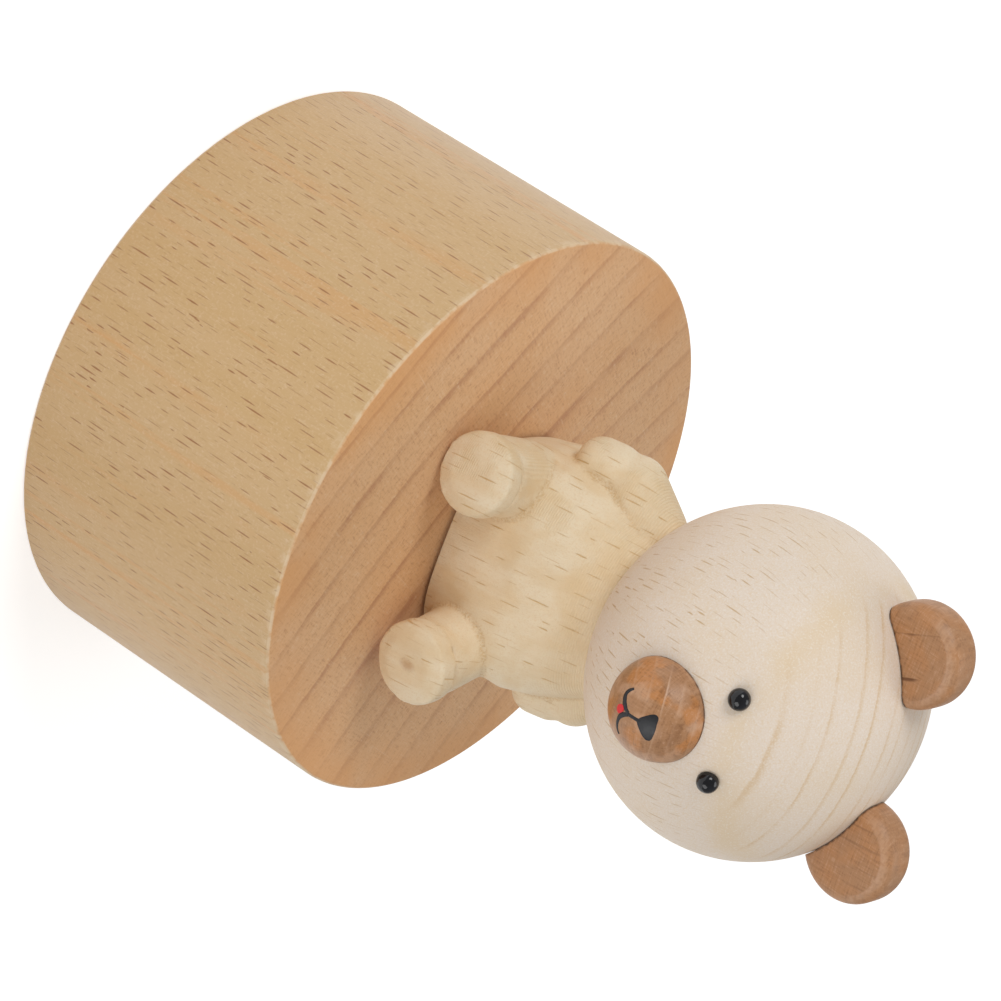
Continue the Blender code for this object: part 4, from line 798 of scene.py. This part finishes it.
def skin(name, shades, grain, low, share, roughness, relief):
    """A smooth surface that varies a little: two shades, roughness and relief after one soft noise."""
    nodes = Finish(name)
    film = nodes.noise(nodes.place, *grain)
    shade = nodes.coats(shades[0], (film, low, 0.8, share, shades[1]))
    return nodes.done(shade, nodes.step(film, 0.3, 0.8, *roughness), film, *relief)


def painted(name, shade, roughness):
    """Brushed-on paint with a slightly uneven film."""
    light = [min(1, part * 1.6 + 0.01) for part in shade]
    return skin(name, (shade, light), (2600, 3), 0.4, 0.3, (roughness, roughness + 0.15), (0.02, 0.5))


def black_bead():
    """A glossy bead, a little uneven where it was moulded."""
    shades = (display(16, 16, 19), display(26, 27, 32))
    return skin("black_bead", shades, (900, 2), 0.4, 1.0, (0.06, 0.16), (0.12, 0.7))


def moulded_nylon(settings):
    """Milky nylon with faint flow marks."""
    shades = (settings.nylon, [part * 0.88 for part in settings.nylon])
    return skin("moulded_nylon", shades, (700, 3), 0.3, 1.0, (0.38, 0.52), (0.01, 0.4))


def metal(name, shade, low, high):
    """Worked metal with fine scratches and stains."""
    nodes = Finish(name)
    wear = nodes.group("brushed", Vector=nodes.place)
    nodes.surface["Metallic"].default_value = 1.0
    stained = nodes.coats(shade, (wear["Stain"], 0.35, 0.75, 0.8, [part * 0.72 for part in shade]))
    scratch = wear["Scratch"]
    return nodes.done(stained, nodes.step(scratch, 0.25, 0.75, low, high), scratch, 0.006, 0.4)


class MUSICBOX_OT_finishes(Operator):
    """Builds the shader groups that the woods and metals share"""

    bl_idname = "music_box.finishes"
    bl_label = "Shared finishes"

    def execute(self, context):
        for build in (growth_rings, ray_flecks, wood_fibre, cross_lines, brushed):
            build()
        return {"FINISHED"}


class MUSICBOX_OT_base(Operator):
    """Turns the beech drum with its pocket, and the cover that closes it from below"""

    bl_idname = "music_box.base"
    bl_label = "Base"

    def execute(self, context):
        settings = context.scene.music_box_base
        shell = self.shell(settings)
        dressed(shell, turned_beech(settings), "base", "beech", "base_shell")
        disc = self.cover(settings)
        dressed(disc, board_beech(settings), "base", "beech", "bottom_cover")
        return {"FINISHED"}

    def shell(self, settings):
        """The drum with its pocket, the bush's bore, the pillars and the screws' holes."""
        rim = settings.rim_round
        radius = BASE_HIGH.x
        top = BASE_HIGH.z
        rebate = COVER_HIGH.x + SEAT_GAP
        seat = COVER_HIGH.z + SEAT_GAP
        pocket = rebate - LEDGE
        sink = BUSH_HIGH.x + PRESS_GAP
        bore = BUSH_RADIUS + PRESS_GAP
        flange = BUSH_HIGH.z - BUSH_FLANGE
        profile = [(sink, top)]
        profile += round_corner((radius - rim, top - rim), rim, tau / 4, 0, 8)
        profile += round_corner((radius - rim, rim), rim, 0, -tau / 4, 8)
        profile += [(rebate, 0), (rebate, seat), (pocket, seat), (pocket, CEILING_Z)]
        profile += [(bore, CEILING_Z), (bore, flange), (sink, flange)]
        shell = turned("beech_drum", profile, settings.steps, closed=True)
        for name in COVER_SCREWS:
            at, _, _, end = measured(name)
            drilled(shell, "pillar", at, seat + PRESS_GAP, CEILING_Z + MM, PILLAR_RADIUS, 48, "UNION")
            drilled(shell, "pilot", at, seat - MM, end + SEAT_GAP, PILOT_RADIUS, 24)
        for name in PLATE_SCREWS:
            at, _, _, end = measured(name)
            drilled(shell, "pilot", at, CEILING_Z - SEAT_GAP - MM, end + SEAT_GAP, PILOT_RADIUS, 24)
        return shell

    def cover(self, settings):
        """The disc that closes the pocket, with holes that sink its screws."""
        bevel = COVER_LOW.z
        profile = [(0, COVER_HIGH.z), (COVER_HIGH.x, COVER_HIGH.z), (COVER_HIGH.x, COVER_LOW.z + bevel)]
        profile += [(COVER_HIGH.x - bevel, COVER_LOW.z), (0, COVER_LOW.z)]
        disc = turned("pocket_cover", profile, settings.steps)
        over = COVER_HIGH.z + MM
        for name in COVER_SCREWS:
            at, head, foot, _ = measured(name)
            head += SEAT_GAP
            sink = foot + SCREW_HEAD + PRESS_GAP
            profile = [(0, over), (SCREW_HOLE, over), (SCREW_HOLE, sink), (head, sink), (head, 0), (0, 0)]
            hole = turned("sunk_hole", profile, 48)
            hole.data.transform(Matrix.Translation((at.x, at.y, 0)))
            combined(disc, hole)
        return disc


class MUSICBOX_OT_screws(Operator):
    """Turns the three screws of the cover and cuts their cross slots"""

    bl_idname = "music_box.screws"
    bl_label = "Cover screws"

    def execute(self, context):
        material = metal("zinc_screw", context.scene.music_box_movement.steel, 0.24, 0.42)
        for number, name in enumerate(COVER_SCREWS, 1):
            at, head, low, end = measured(name)
            seat = low + SCREW_HEAD
            profile = [(0, end), (SCREW_SHANK * 0.2, end), (SCREW_SHANK, end - 2 * SCREW_SHANK)]
            profile += [(SCREW_SHANK, seat), (head, seat), (head, low + SCREW_HEAD * 0.35)]
            profile += [(head * 0.86, low + SCREW_HEAD * 0.08), (head * 0.6, low), (0, low)]
            screw = turned(f"sunk_screw_{number}", profile, 48)
            for turn in (0, tau / 4):
                bm = bmesh.new()
                slot = Matrix.Diagonal((head * 1.15, SLOT_WIDTH, SLOT_DEPTH, 1))
                place = Matrix.Translation((0, 0, low)) @ Matrix.Rotation(0.5 + turn, 4, "Z") @ slot
                bmesh.ops.create_cube(bm, size=1, matrix=place)
                combined(screw, solid("slot", bm))
            screw.data.transform(Matrix.Translation((at.x, at.y, 0)))
            dressed(screw, material, "base", "steel", name)
        return {"FINISHED"}


# Torso sections: share of the height, of the half width, of the half depth and of the lean, and squareness
TORSO = (
    (-0.10, 0.83, 0.87, 0.0, 3.2),
    (0.00, 0.88, 0.94, 0.0, 3.2),
    (0.06, 0.92, 0.97, 0.0, 3.2),
    (0.24, 0.985, 1.00, 0.1, 3.2),
    (0.44, 1.00, 0.99, 0.2, 3.2),
    (0.60, 0.935, 0.93, 0.4, 3.2),
    (0.76, 0.83, 0.86, 0.7, 3.1),
    (0.90, 0.73, 0.79, 0.9, 2.9),
    (1.02, 0.61, 0.71, 1.0, 2.6),
)

# Middles of the limbs' round ends: shares of the half width, half depth and height, and the radius as a
# share of the height
SHOULDER = (0.664, 0.346, 0.828, 0.172)
ELBOW = (0.930, 0.365, 0.668, 0.156)
WRIST = (1.000, 0.279, 0.556, 0.132)
HAND = (1.013, 0.231, 0.478, 0.126)
HIP = (0.566, 0.048, 0.225, 0.235)
KNEE = (0.700, -0.480, 0.215, 0.196)
ANKLE = (0.785, -0.950, 0.206, 0.196)
SOLE = (0.830, -1.440, 0.220, 0.214)


def seated(settings):
    """The turn and lean of the body, and the place where it sits on the base."""
    shift = (HEAD_CENTRE.z - BEAR_Z) * sin(-settings.tilt)
    lean = Matrix.Rotation(settings.tilt, 4, "Y") @ Matrix.Rotation(settings.turn, 4, "Z")
    return Matrix.Translation((shift, 0, BEAR_Z)) @ lean


def body_place(settings, ratio, side, shifted=False):
    """A place in the body from its shares of the half width, half depth and height."""
    across, back, up = ratio[:3]
    shift = settings.leg_shift if shifted else 0
    half = side * settings.half_width
    return Vector((across * half + shift, back * settings.half_depth, up * settings.height))


class MUSICBOX_OT_body(Operator):
    """Carves the torso, arms and legs from one piece"""

    bl_idname = "music_box.body"
    bl_label = "Body"

    def execute(self, context):
        settings = context.scene.music_box_body
        bm = bmesh.new()
        self.torso(bm, settings)
        for side in (-1, 1):
            self.limb(bm, settings, (SHOULDER, ELBOW), side, settings.arm_turn)
            self.limb(bm, settings, (WRIST, HAND), side, settings.arm_turn)
            self.limb(bm, settings, (HIP, KNEE, ANKLE), side, shifted=True)
            self.foot(bm, settings, side)
        bmesh.ops.transform(bm, verts=bm.verts, matrix=seated(settings))
        body = solid("carved_body", bm)
        carve = body.modifiers.new("Carve", "REMESH")
        carve.mode = "VOXEL"
        carve.voxel_size = settings.grain
        soften = body.modifiers.new("Soften", "SMOOTH")
        soften.factor = 0.5
        soften.iterations = 10
        settled(body)
        self.flat_below(body)
        combined(body, head_form(PRESS_GAP))
        self.bores(body)
        self.mark_grooves(body)
        dressed(body, carved_wood(settings), "figure", "maple", "bear_body", sharp=50)
        return {"FINISHED"}

    def torso(self, bm, settings):
        """Sections between an oval and a rectangle, lofted upwards."""
        ring = bmesh.ops.create_circle(bm, cap_ends=True, segments=64, radius=1)["verts"]
        last = None
        for share, width, depth, lean, square in TORSO:
            if last is not None:
                cap = [face for face in ring[0].link_faces if len(face.verts) == len(ring)]
                made = bmesh.ops.extrude_face_region(bm, geom=cap, use_keep_orig=last == 0)
                ring = [item for item in made["geom"] if isinstance(item, bmesh.types.BMVert)]
            last = 0 if last is None else 1
            for i, vert in enumerate(sorted(ring, key=lambda v: atan2(v.co.y, v.co.x))):
                around = -tau / 2 + tau * (i + 0.5) / len(ring)
                reach = (abs(cos(around)) ** square + abs(sin(around)) ** square) ** (-1 / square)
                back = settings.setback + settings.lean * lean
                vert.co = (
                    settings.half_width * width * reach * cos(around),
                    back + settings.half_depth * depth * reach * sin(around),
                    settings.height * share,
                )

    def limb(self, bm, settings, ends, side, turn=0.0, shifted=False):
        """Tapered rods with round ends, one after another; a leg's last end is shifted sideways."""
        spin = Matrix.Rotation(turn, 3, "Z")
        last = None
        for ratio in ends:
            centre = spin @ body_place(settings, ratio, side, shifted and ratio is ends[-1])
            radius = settings.height * ratio[3]
            ball(bm, centre, [radius] * 3, 40, 24)
            if last is not None:
                post(bm, last[0], centre, last[1], radius, 40)
            last = (centre, radius)

    def foot(self, bm, settings, side):
        """The round end of a leg, its flat sole turned a little outwards."""
        ahead = Vector((side * sin(settings.splay), -cos(settings.splay), 0))
        ankle = body_place(settings, ANKLE, side, True)
        sole = body_place(settings, SOLE, side, True)
        radius = settings.height * SOLE[3]
        heel = sole - ahead * settings.foot_thickness
        toe = sole + ahead * settings.foot_thickness / 5
        post(bm, ankle, heel, settings.height * ANKLE[3], radius * 0.9, 64)
        post(bm, heel, sole, radius * 0.98, radius * 0.97, 64)
        post(bm, sole, toe, radius * 0.86, radius * 0.6, 64)

    def flat_below(self, body):
        """Cuts the body off level where it sits, and closes it there."""
        bm = bmesh.new()
        bm.from_mesh(body.data)
        every = [*bm.verts, *bm.edges, *bm.faces]
        seat = {"plane_co": (0, 0, BEAR_Z), "plane_no": (0, 0, 1)}
        cut = bmesh.ops.bisect_plane(bm, geom=every, clear_inner=True, **seat)
        rim = [item for item in cut["geom_cut"] if isinstance(item, bmesh.types.BMEdge)]
        bmesh.ops.contextual_create(bm, geom=rim)
        bm.to_mesh(body.data)
        bm.free()

    def bores(self, body):
        """Bores the holes for the threaded insert and the neck dowel."""
        at, radius, _, top = measured("threaded_insert")
        drilled(body, "insert", at, BEAR_Z - MM, top + 0.6 * MM, radius + PRESS_GAP)
        at, radius, foot, _ = measured("neck_dowel")
        drilled(body, "dowel", at, foot - SEAT_GAP, HEAD_CENTRE.z, radius + PRESS_GAP)

    def mark_grooves(self, body):
        """Stores how deep each point lies below its smoothed surroundings, from 0 to 1."""
        deepest = 0.12 * MM
        bm = bmesh.new()
        bm.from_mesh(body.data)
        start = [(vert.co.copy(), vert.normal.copy()) for vert in bm.verts]
        along = {"use_axis_x": True, "use_axis_y": True, "use_axis_z": True}
        for _ in range(12):
            bmesh.ops.smooth_vert(bm, verts=bm.verts, factor=0.5, **along)
        layer = body.data.attributes.new("groove", "FLOAT", "POINT")
        for mark, vert, (place, normal) in zip(layer.data, bm.verts, start):
            mark.value = max(0.0, min(1.0, (vert.co - place).dot(normal) / deepest))
        bm.free()


def muzzle_centre(settings):
    """The middle of the muzzle's ball."""
    return HEAD_CENTRE + Vector((0, settings.muzzle_depth - HEAD_SIZE.y, settings.muzzle_rise))


def muzzle_ball(settings, name, grow, facets):
    """The muzzle's ball, grown where a film of paint lies on it."""
    return ball_form(name, muzzle_centre(settings), [settings.muzzle_radius + grow] * 3, facets)


class MUSICBOX_OT_head(Operator):
    """Turns the head, its ears and its muzzle, and sets the eyes"""

    bl_idname = "music_box.head"
    bl_label = "Head"

    def execute(self, context):
        settings = context.scene.music_box_head
        head = head_form(0)
        head.name = "turned_head"
        _, radius, _, top = measured("neck_dowel")
        neck = Vector((0, HEAD_CENTRE.y, 0))
        drilled(head, "neck_hole", neck, BEAR_Z, top + SEAT_GAP, radius + PRESS_GAP)
        dressed(head, turned_maple(settings), "figure", "head_maple", "bear_head")
        for side, name, slant, lines in ((-1, "ear_right", 24, 1.0), (1, "ear_left", 6, 0.3)):
            self.ear(settings, side, name, stained_ear(f"{name}_stain", settings, slant, lines))
        muzzle = muzzle_ball(settings, "turned_muzzle", 0, (96, 64))
        combined(muzzle, head_form(PRESS_GAP))
        dressed(muzzle, stained_muzzle(settings), "figure", "stained_wood", "muzzle")
        bead = black_bead()
        for side, name in ((-1, "eye_right"), (1, "eye_left")):
            self.eye(settings, side, name, bead)
        return {"FINISHED"}

    def ear(self, settings, side, name, material):
        """A thick disc, flat in front with a round rim, fuller behind, hollowed to the head."""
        half = settings.ear_thickness / 2
        front = settings.ear_thickness * 0.28
        back = settings.ear_thickness * 0.45
        profile = [(0, half)]
        profile += round_corner((settings.ear_radius - front, half - front), front, tau / 4, 0, 10)
        profile += round_corner((settings.ear_radius - back, back - half), back, 0, -tau / 4, 10)
        profile += [(0, -half)]
        ear = turned(f"turned_{name}", profile, 96)
        place = Vector((side * settings.ear_spread, settings.ear_setback, settings.ear_rise))
        place = HEAD_CENTRE + Matrix.Rotation(settings.ear_tilt, 3, "Y") @ place
        place.x += settings.ear_shift
        ear.data.transform(Matrix.Translation(place) @ Matrix.Rotation(tau / 4, 4, "X"))
        combined(ear, head_form(PRESS_GAP))
        dressed(ear, material, "figure", "stained_wood", name, sharp=50)

    def eye(self, settings, side, name, material):
        """A bead sunk in the head's surface."""
        x = side * settings.eye_spread + settings.eye_shift
        level = 1 - (settings.eye_rise / HEAD_SIZE.z) ** 2
        y = HEAD_CENTRE.y - sqrt(HEAD_SIZE.x**2 * level - x * x) - settings.eye_radius / 5
        centre = (x, y, HEAD_CENTRE.z + settings.eye_rise)
        eye = ball_form(f"bead_{name}", centre, [settings.eye_radius] * 3, (48, 32))
        combined(eye, head_form(PRESS_GAP))
        dressed(eye, material, "figure", "black_bead", name)


def smooth(outline, steps=6):
    """A closed curve through the points of an outline."""
    count = len(outline)
    curve = []
    for i in range(count):
        before, start, end, after = (outline[(i + k) % count] for k in (-1, 0, 1, 2))
        for step in range(steps):
            t = step / steps
            place = []
            for a, b, c, d in zip(before, start, end, after):
                bend = (2 * a - 5 * b + 4 * c - d) * t * t + (3 * b - a - 3 * c + d) * t**3
                place.append((2 * b + (c - a) * t + bend) / 2)
            curve.append(tuple(place))
    return curve


# Painted marks on the muzzle, in mm across and up from its middle
NOSE = ((-1.25, 3.13), (-0.55, 3.22), (0.20, 3.30), (1.00, 3.24), (1.66, 3.06), (1.82, 2.60), (1.46, 2.12),
        (0.92, 1.66), (0.40, 1.26), (-0.04, 1.05), (-0.50, 1.28), (-0.98, 1.76), (-1.40, 2.28), (-1.56, 2.75))
TONGUE = ((-0.14, -1.08), (-0.60, -1.45), (-0.45, -2.03), (-0.05, -2.23), (0.42, -2.03), (0.52, -1.58))
STROKES = (
    ((-0.04, 1.30, 1.2), (-0.08, 0.70, 0.8), (-0.08, 0.10, 0.9), (-0.05, -0.50, 1.6)),
    ((-0.15, -0.25, 1.0), (-0.47, -0.90, 1.6), (-0.95, -1.42, 1.6), (-1.76, -1.84, 1.4), (-2.45, -1.62, 1.0),
     (-2.90, -1.12, 0.4)),
    ((-0.05, -0.25, 1.0), (0.32, -0.95, 1.6), (0.90, -1.42, 1.5), (1.75, -1.56, 1.0), (2.55, -1.40, 0.5),
     (3.15, -1.02, 0.25)),
)


class MUSICBOX_OT_face(Operator):
    """Paints the nose, mouth and tongue on the muzzle"""

    bl_idname = "music_box.face"
    bl_label = "Face paint"

    def execute(self, context):
        settings = context.scene.music_box_head
        black = painted("nose_paint", settings.nose, 0.32)
        red = painted("tongue_paint", settings.tongue, 0.36)
        dressed(self.patch(settings, "nose", NOSE, settings.paint), black, "figure", "stained_wood")
        dressed(self.patch(settings, "tongue", TONGUE, settings.paint * 1.6), red, "figure", "stained_wood")
        dressed(self.strokes(settings), black, "figure", "stained_wood")
        return {"FINISHED"}

    def on_ball(self, settings, across, up, lift):
        """The point of the muzzle's ball at a place across and up, lifted off its surface."""
        depth = sqrt(settings.muzzle_radius**2 - across * across - up * up)
        outward = Vector((across, -depth, up)).normalized()
        return muzzle_centre(settings) + outward * (settings.muzzle_radius + lift)

    def patch(self, settings, name, outline, lift):
        """A film of paint with a closed outline: a plug through the muzzle, cut by a larger ball."""
        middle = muzzle_centre(settings)
        ahead = -2 * settings.muzzle_radius
        bm = bmesh.new()
        front = [bm.verts.new(middle + Vector((x * MM, ahead, z * MM))) for x, z in smooth(outline)]
        made = bmesh.ops.extrude_face_region(bm, geom=[bm.faces.new(front)], use_keep_orig=True)
        back = [item for item in made["geom"] if isinstance(item, bmesh.types.BMVert)]
        bmesh.ops.translate(bm, verts=back, vec=(0, 1.5 * settings.muzzle_radius, 0))
        plug = solid(f"painted_{name}", bm)
        return combined(plug, muzzle_ball(settings, "film", lift, FILM_BALL), "INTERSECT")

    def strokes(self, settings):
        """The brush lines of the mouth, thicker in the middle than at their ends."""
        brush = 0.36 * MM
        film = 2 * settings.paint
        curve = bpy.data.curves.new("mouth", "CURVE")
        curve.dimensions = "3D"
        curve.bevel_depth = brush
        curve.bevel_resolution = 4
        curve.use_fill_caps = True
        steps = 6
        for line in STROKES:
            places = smooth((line[0], *line, line[-1]), steps)[steps:steps * len(line)]
            spline = curve.splines.new("POLY")
            spline.points.add(len(places) - 1)
            for point, (across, up, width) in zip(spline.points, places):
                point.co = (*self.on_ball(settings, across * MM, up * MM, film - brush * width), 1)
                point.radius = width
        lines = bpy.data.objects.new("mouth", curve)
        bpy.context.scene.collection.objects.link(lines)
        bpy.context.view_layer.update()
        bm = bmesh.new()
        bm.from_mesh(lines.to_mesh())
        bpy.data.objects.remove(lines, do_unlink=True)
        return solid("painted_mouth", bm)


# CAD nodes of the movement by finish
STEEL = (
    *PLATE_SCREWS,
    *(f"{held}_screw_{number}" for held in ("case", "comb", "bracket") for number in (1, 2)),
    *("comb", "governor_bracket", "drum_shaft", "drum_bearing_inner", "drum_bearing_outer", "idler_post"),
    *("governor_shaft", "winding_arbor", "arbor_clip", "spring_case", "spring_case_cover"),
)
SPRING_STEEL = ("mainspring", "ratchet_pawl")
BRASS = ("drum", "drum_gear", "drum_pinion", "drive_gear", "ratchet_wheel", "spindle_bush", "threaded_insert",
         "governor_pinion", "worm")
NYLON = ("idler_gear", "worm_wheel", "fly")


class MUSICBOX_OT_movement(Operator):
    """Finishes the metals, plastics and dowel of the movement and the bear's fixing"""

    bl_idname = "music_box.movement"
    bl_label = "Movement"

    def execute(self, context):
        settings = context.scene.music_box_movement
        finishes = (
            (metal("steel", settings.steel, 0.24, 0.40), STEEL),
            (metal("spring_steel", settings.blued, 0.20, 0.36), SPRING_STEEL),
            (metal("brass", settings.brass, 0.22, 0.40), BRASS),
            (metal("cast_metal", settings.cast, 0.42, 0.60), ("bedplate",)),
            (moulded_nylon(settings), NYLON),
            (bpy.data.materials["board_beech"], ("neck_dowel",)),
        )
        for material, names in finishes:
            for name in names:
                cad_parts[name].data.materials.clear()
                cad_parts[name].data.materials.append(material)
        return {"FINISHED"}


# The long lens: its focal length and the picture's width in pixels, and the pixel it turns about
FOCUS = 5733.53
PICTURE = 1001
AIM = (363.163, 440.332)

# How far the lens stands from the place it turns about, in radii of the base, and how far that place lies
# below the base's top
LENS_REACH = 18.788
AIM_DROP = 20.88 * MM

# Where the lamps stand, in metres as seen from the lens, and how wide they are
LAMPS = (
    ("key", (-0.62, -0.52, 0.50), 0.45),
    ("fill", (0.70, -0.45, 0.35), 0.60),
    ("back", (-0.20, 0.35, 0.85), 0.50),
)
LIT_HEIGHT = 50 * MM
FLOOR_GLOW = 0.55


class MUSICBOX_OT_stage(Operator):
    """Lays the pale floor and sets the camera and the soft light"""

    bl_idname = "music_box.stage"
    bl_label = "Stage"

    def execute(self, context):
        settings = context.scene.music_box_stage
        context.scene.view_settings.view_transform = "Standard"
        self.floor(settings)
        self.camera(context, settings)
        self.lights(context, settings)
        return {"FINISHED"}

    def floor(self, settings):
        """A pale floor that keeps the box's shadow and looks white."""
        bm = bmesh.new()
        bmesh.ops.create_grid(bm, x_segments=1, y_segments=1, size=settings.floor / 2)
        floor = solid("floor", bm)
        nodes = Finish("pale_floor")
        for name, value in (
            ("Base Color", (*settings.floor_colour, 1)),
            ("Roughness", 0.9),
            ("Specular IOR Level", 0.0),
            ("Emission Color", (1, 1, 1, 1)),
        ):
            nodes.surface[name].default_value = value
        seen = nodes.add("LightPath").outputs
        direct = nodes.math("MAXIMUM", seen["Is Camera Ray"], seen["Is Glossy Ray"])
        nodes.put(nodes.surface["Emission Strength"], nodes.times(direct, FLOOR_GLOW))
        floor.data.materials.append(nodes.material)

    def camera(self, context, settings):
        """A long lens, far off, turned about its view so that the object lies as photographed."""
        half = PICTURE / 2
        middle = Vector(((AIM[0] - half) / FOCUS, (half - AIM[1]) / FOCUS, -1)).normalized()
        e = settings.elevation
        a = settings.azimuth
        back = Vector((-cos(e) * sin(a), -cos(e) * cos(a), sin(e)))
        right = Vector((cos(a), -sin(a), 0))
        level = Matrix((right, back.cross(right), back)).transposed()
        roll = Matrix.Rotation(settings.roll, 3, "Z").transposed()
        aim = Vector((0, 0, -1)).rotation_difference(middle).to_matrix().transposed()
        data = bpy.data.cameras.new("camera")
        data.sensor_width = 36
        data.lens = FOCUS * data.sensor_width / PICTURE
        camera = bpy.data.objects.new("camera", data)
        context.scene.collection.objects.link(camera)
        place = Vector((0, 0, BASE_HIGH.z - AIM_DROP)) + back * LENS_REACH * BASE_HIGH.x
        camera.matrix_world = Matrix.Translation(place) @ (level @ roll @ aim).to_4x4()
        context.scene.camera = camera

    def lights(self, context, settings):
        """An even light all round and three soft lamps."""
        world = bpy.data.worlds.new("soft_room")
        world.use_nodes = True
        nodes = Nodes(world.node_tree)
        seen = nodes.add("LightPath").outputs
        direct = nodes.math("MAXIMUM", seen["Is Camera Ray"], seen["Is Transmission Ray"])
        sky = world.node_tree.nodes["Background"].inputs
        sky["Color"].default_value = (1, 1, 1, 1)
        nodes.put(sky["Strength"], nodes.mix(direct, settings.sky, 1.0))
        context.scene.world = world
        up = Matrix.Rotation(settings.azimuth, 3, "Z").transposed()
        centre = Vector((0, 0, LIT_HEIGHT))
        for name, place, width in LAMPS:
            data = bpy.data.lights.new(name, "AREA")
            data.shape = "DISK"
            data.size = width
            data.energy = getattr(settings, name)
            lamp = bpy.data.objects.new(name, data)
            context.scene.collection.objects.link(lamp)
            lamp.location = up @ Vector(place)
            lamp.rotation_mode = "QUATERNION"
            lamp.rotation_quaternion = (centre - lamp.location).to_track_quat("-Z", "Y")


OPERATORS = (
    MUSICBOX_OT_finishes,
    MUSICBOX_OT_stage,
    MUSICBOX_OT_base,
    MUSICBOX_OT_screws,
    MUSICBOX_OT_body,
    MUSICBOX_OT_head,
    MUSICBOX_OT_face,
    MUSICBOX_OT_movement,
)
SETTINGS = {
    "music_box_base": BaseSettings,
    "music_box_body": BodySettings,
    "music_box_head": HeadSettings,
    "music_box_movement": MovementSettings,
    "music_box_stage": StageSettings,
}


class MUSICBOX_PT_panel(Panel):
    """Lists the steps that build the music box and the values they use."""

    bl_label = "Music Box"
    bl_space_type = "VIEW_3D"
    bl_region_type = "UI"
    bl_category = "Music Box"

    def draw(self, context):
        for operator in OPERATORS:
            self.layout.operator(operator.bl_idname)
        for name, group in SETTINGS.items():
            box = self.layout.box()
            for prop in group.__annotations__:
                box.prop(getattr(context.scene, name), prop)


def register():
    for cls in (*SETTINGS.values(), *OPERATORS, MUSICBOX_PT_panel):
        bpy.utils.register_class(cls)
    for name, group in SETTINGS.items():
        setattr(bpy.types.Scene, name, PointerProperty(type=group))


def unregister():
    for name in SETTINGS:
        delattr(bpy.types.Scene, name)
    for cls in (MUSICBOX_PT_panel, *reversed(OPERATORS), *reversed(SETTINGS.values())):
        bpy.utils.unregister_class(cls)


def main():
    register()
    for operator in OPERATORS:
        group, name = operator.bl_idname.split(".")
        getattr(getattr(bpy.ops, group), name)()


if __name__ == "__main__":
    main()
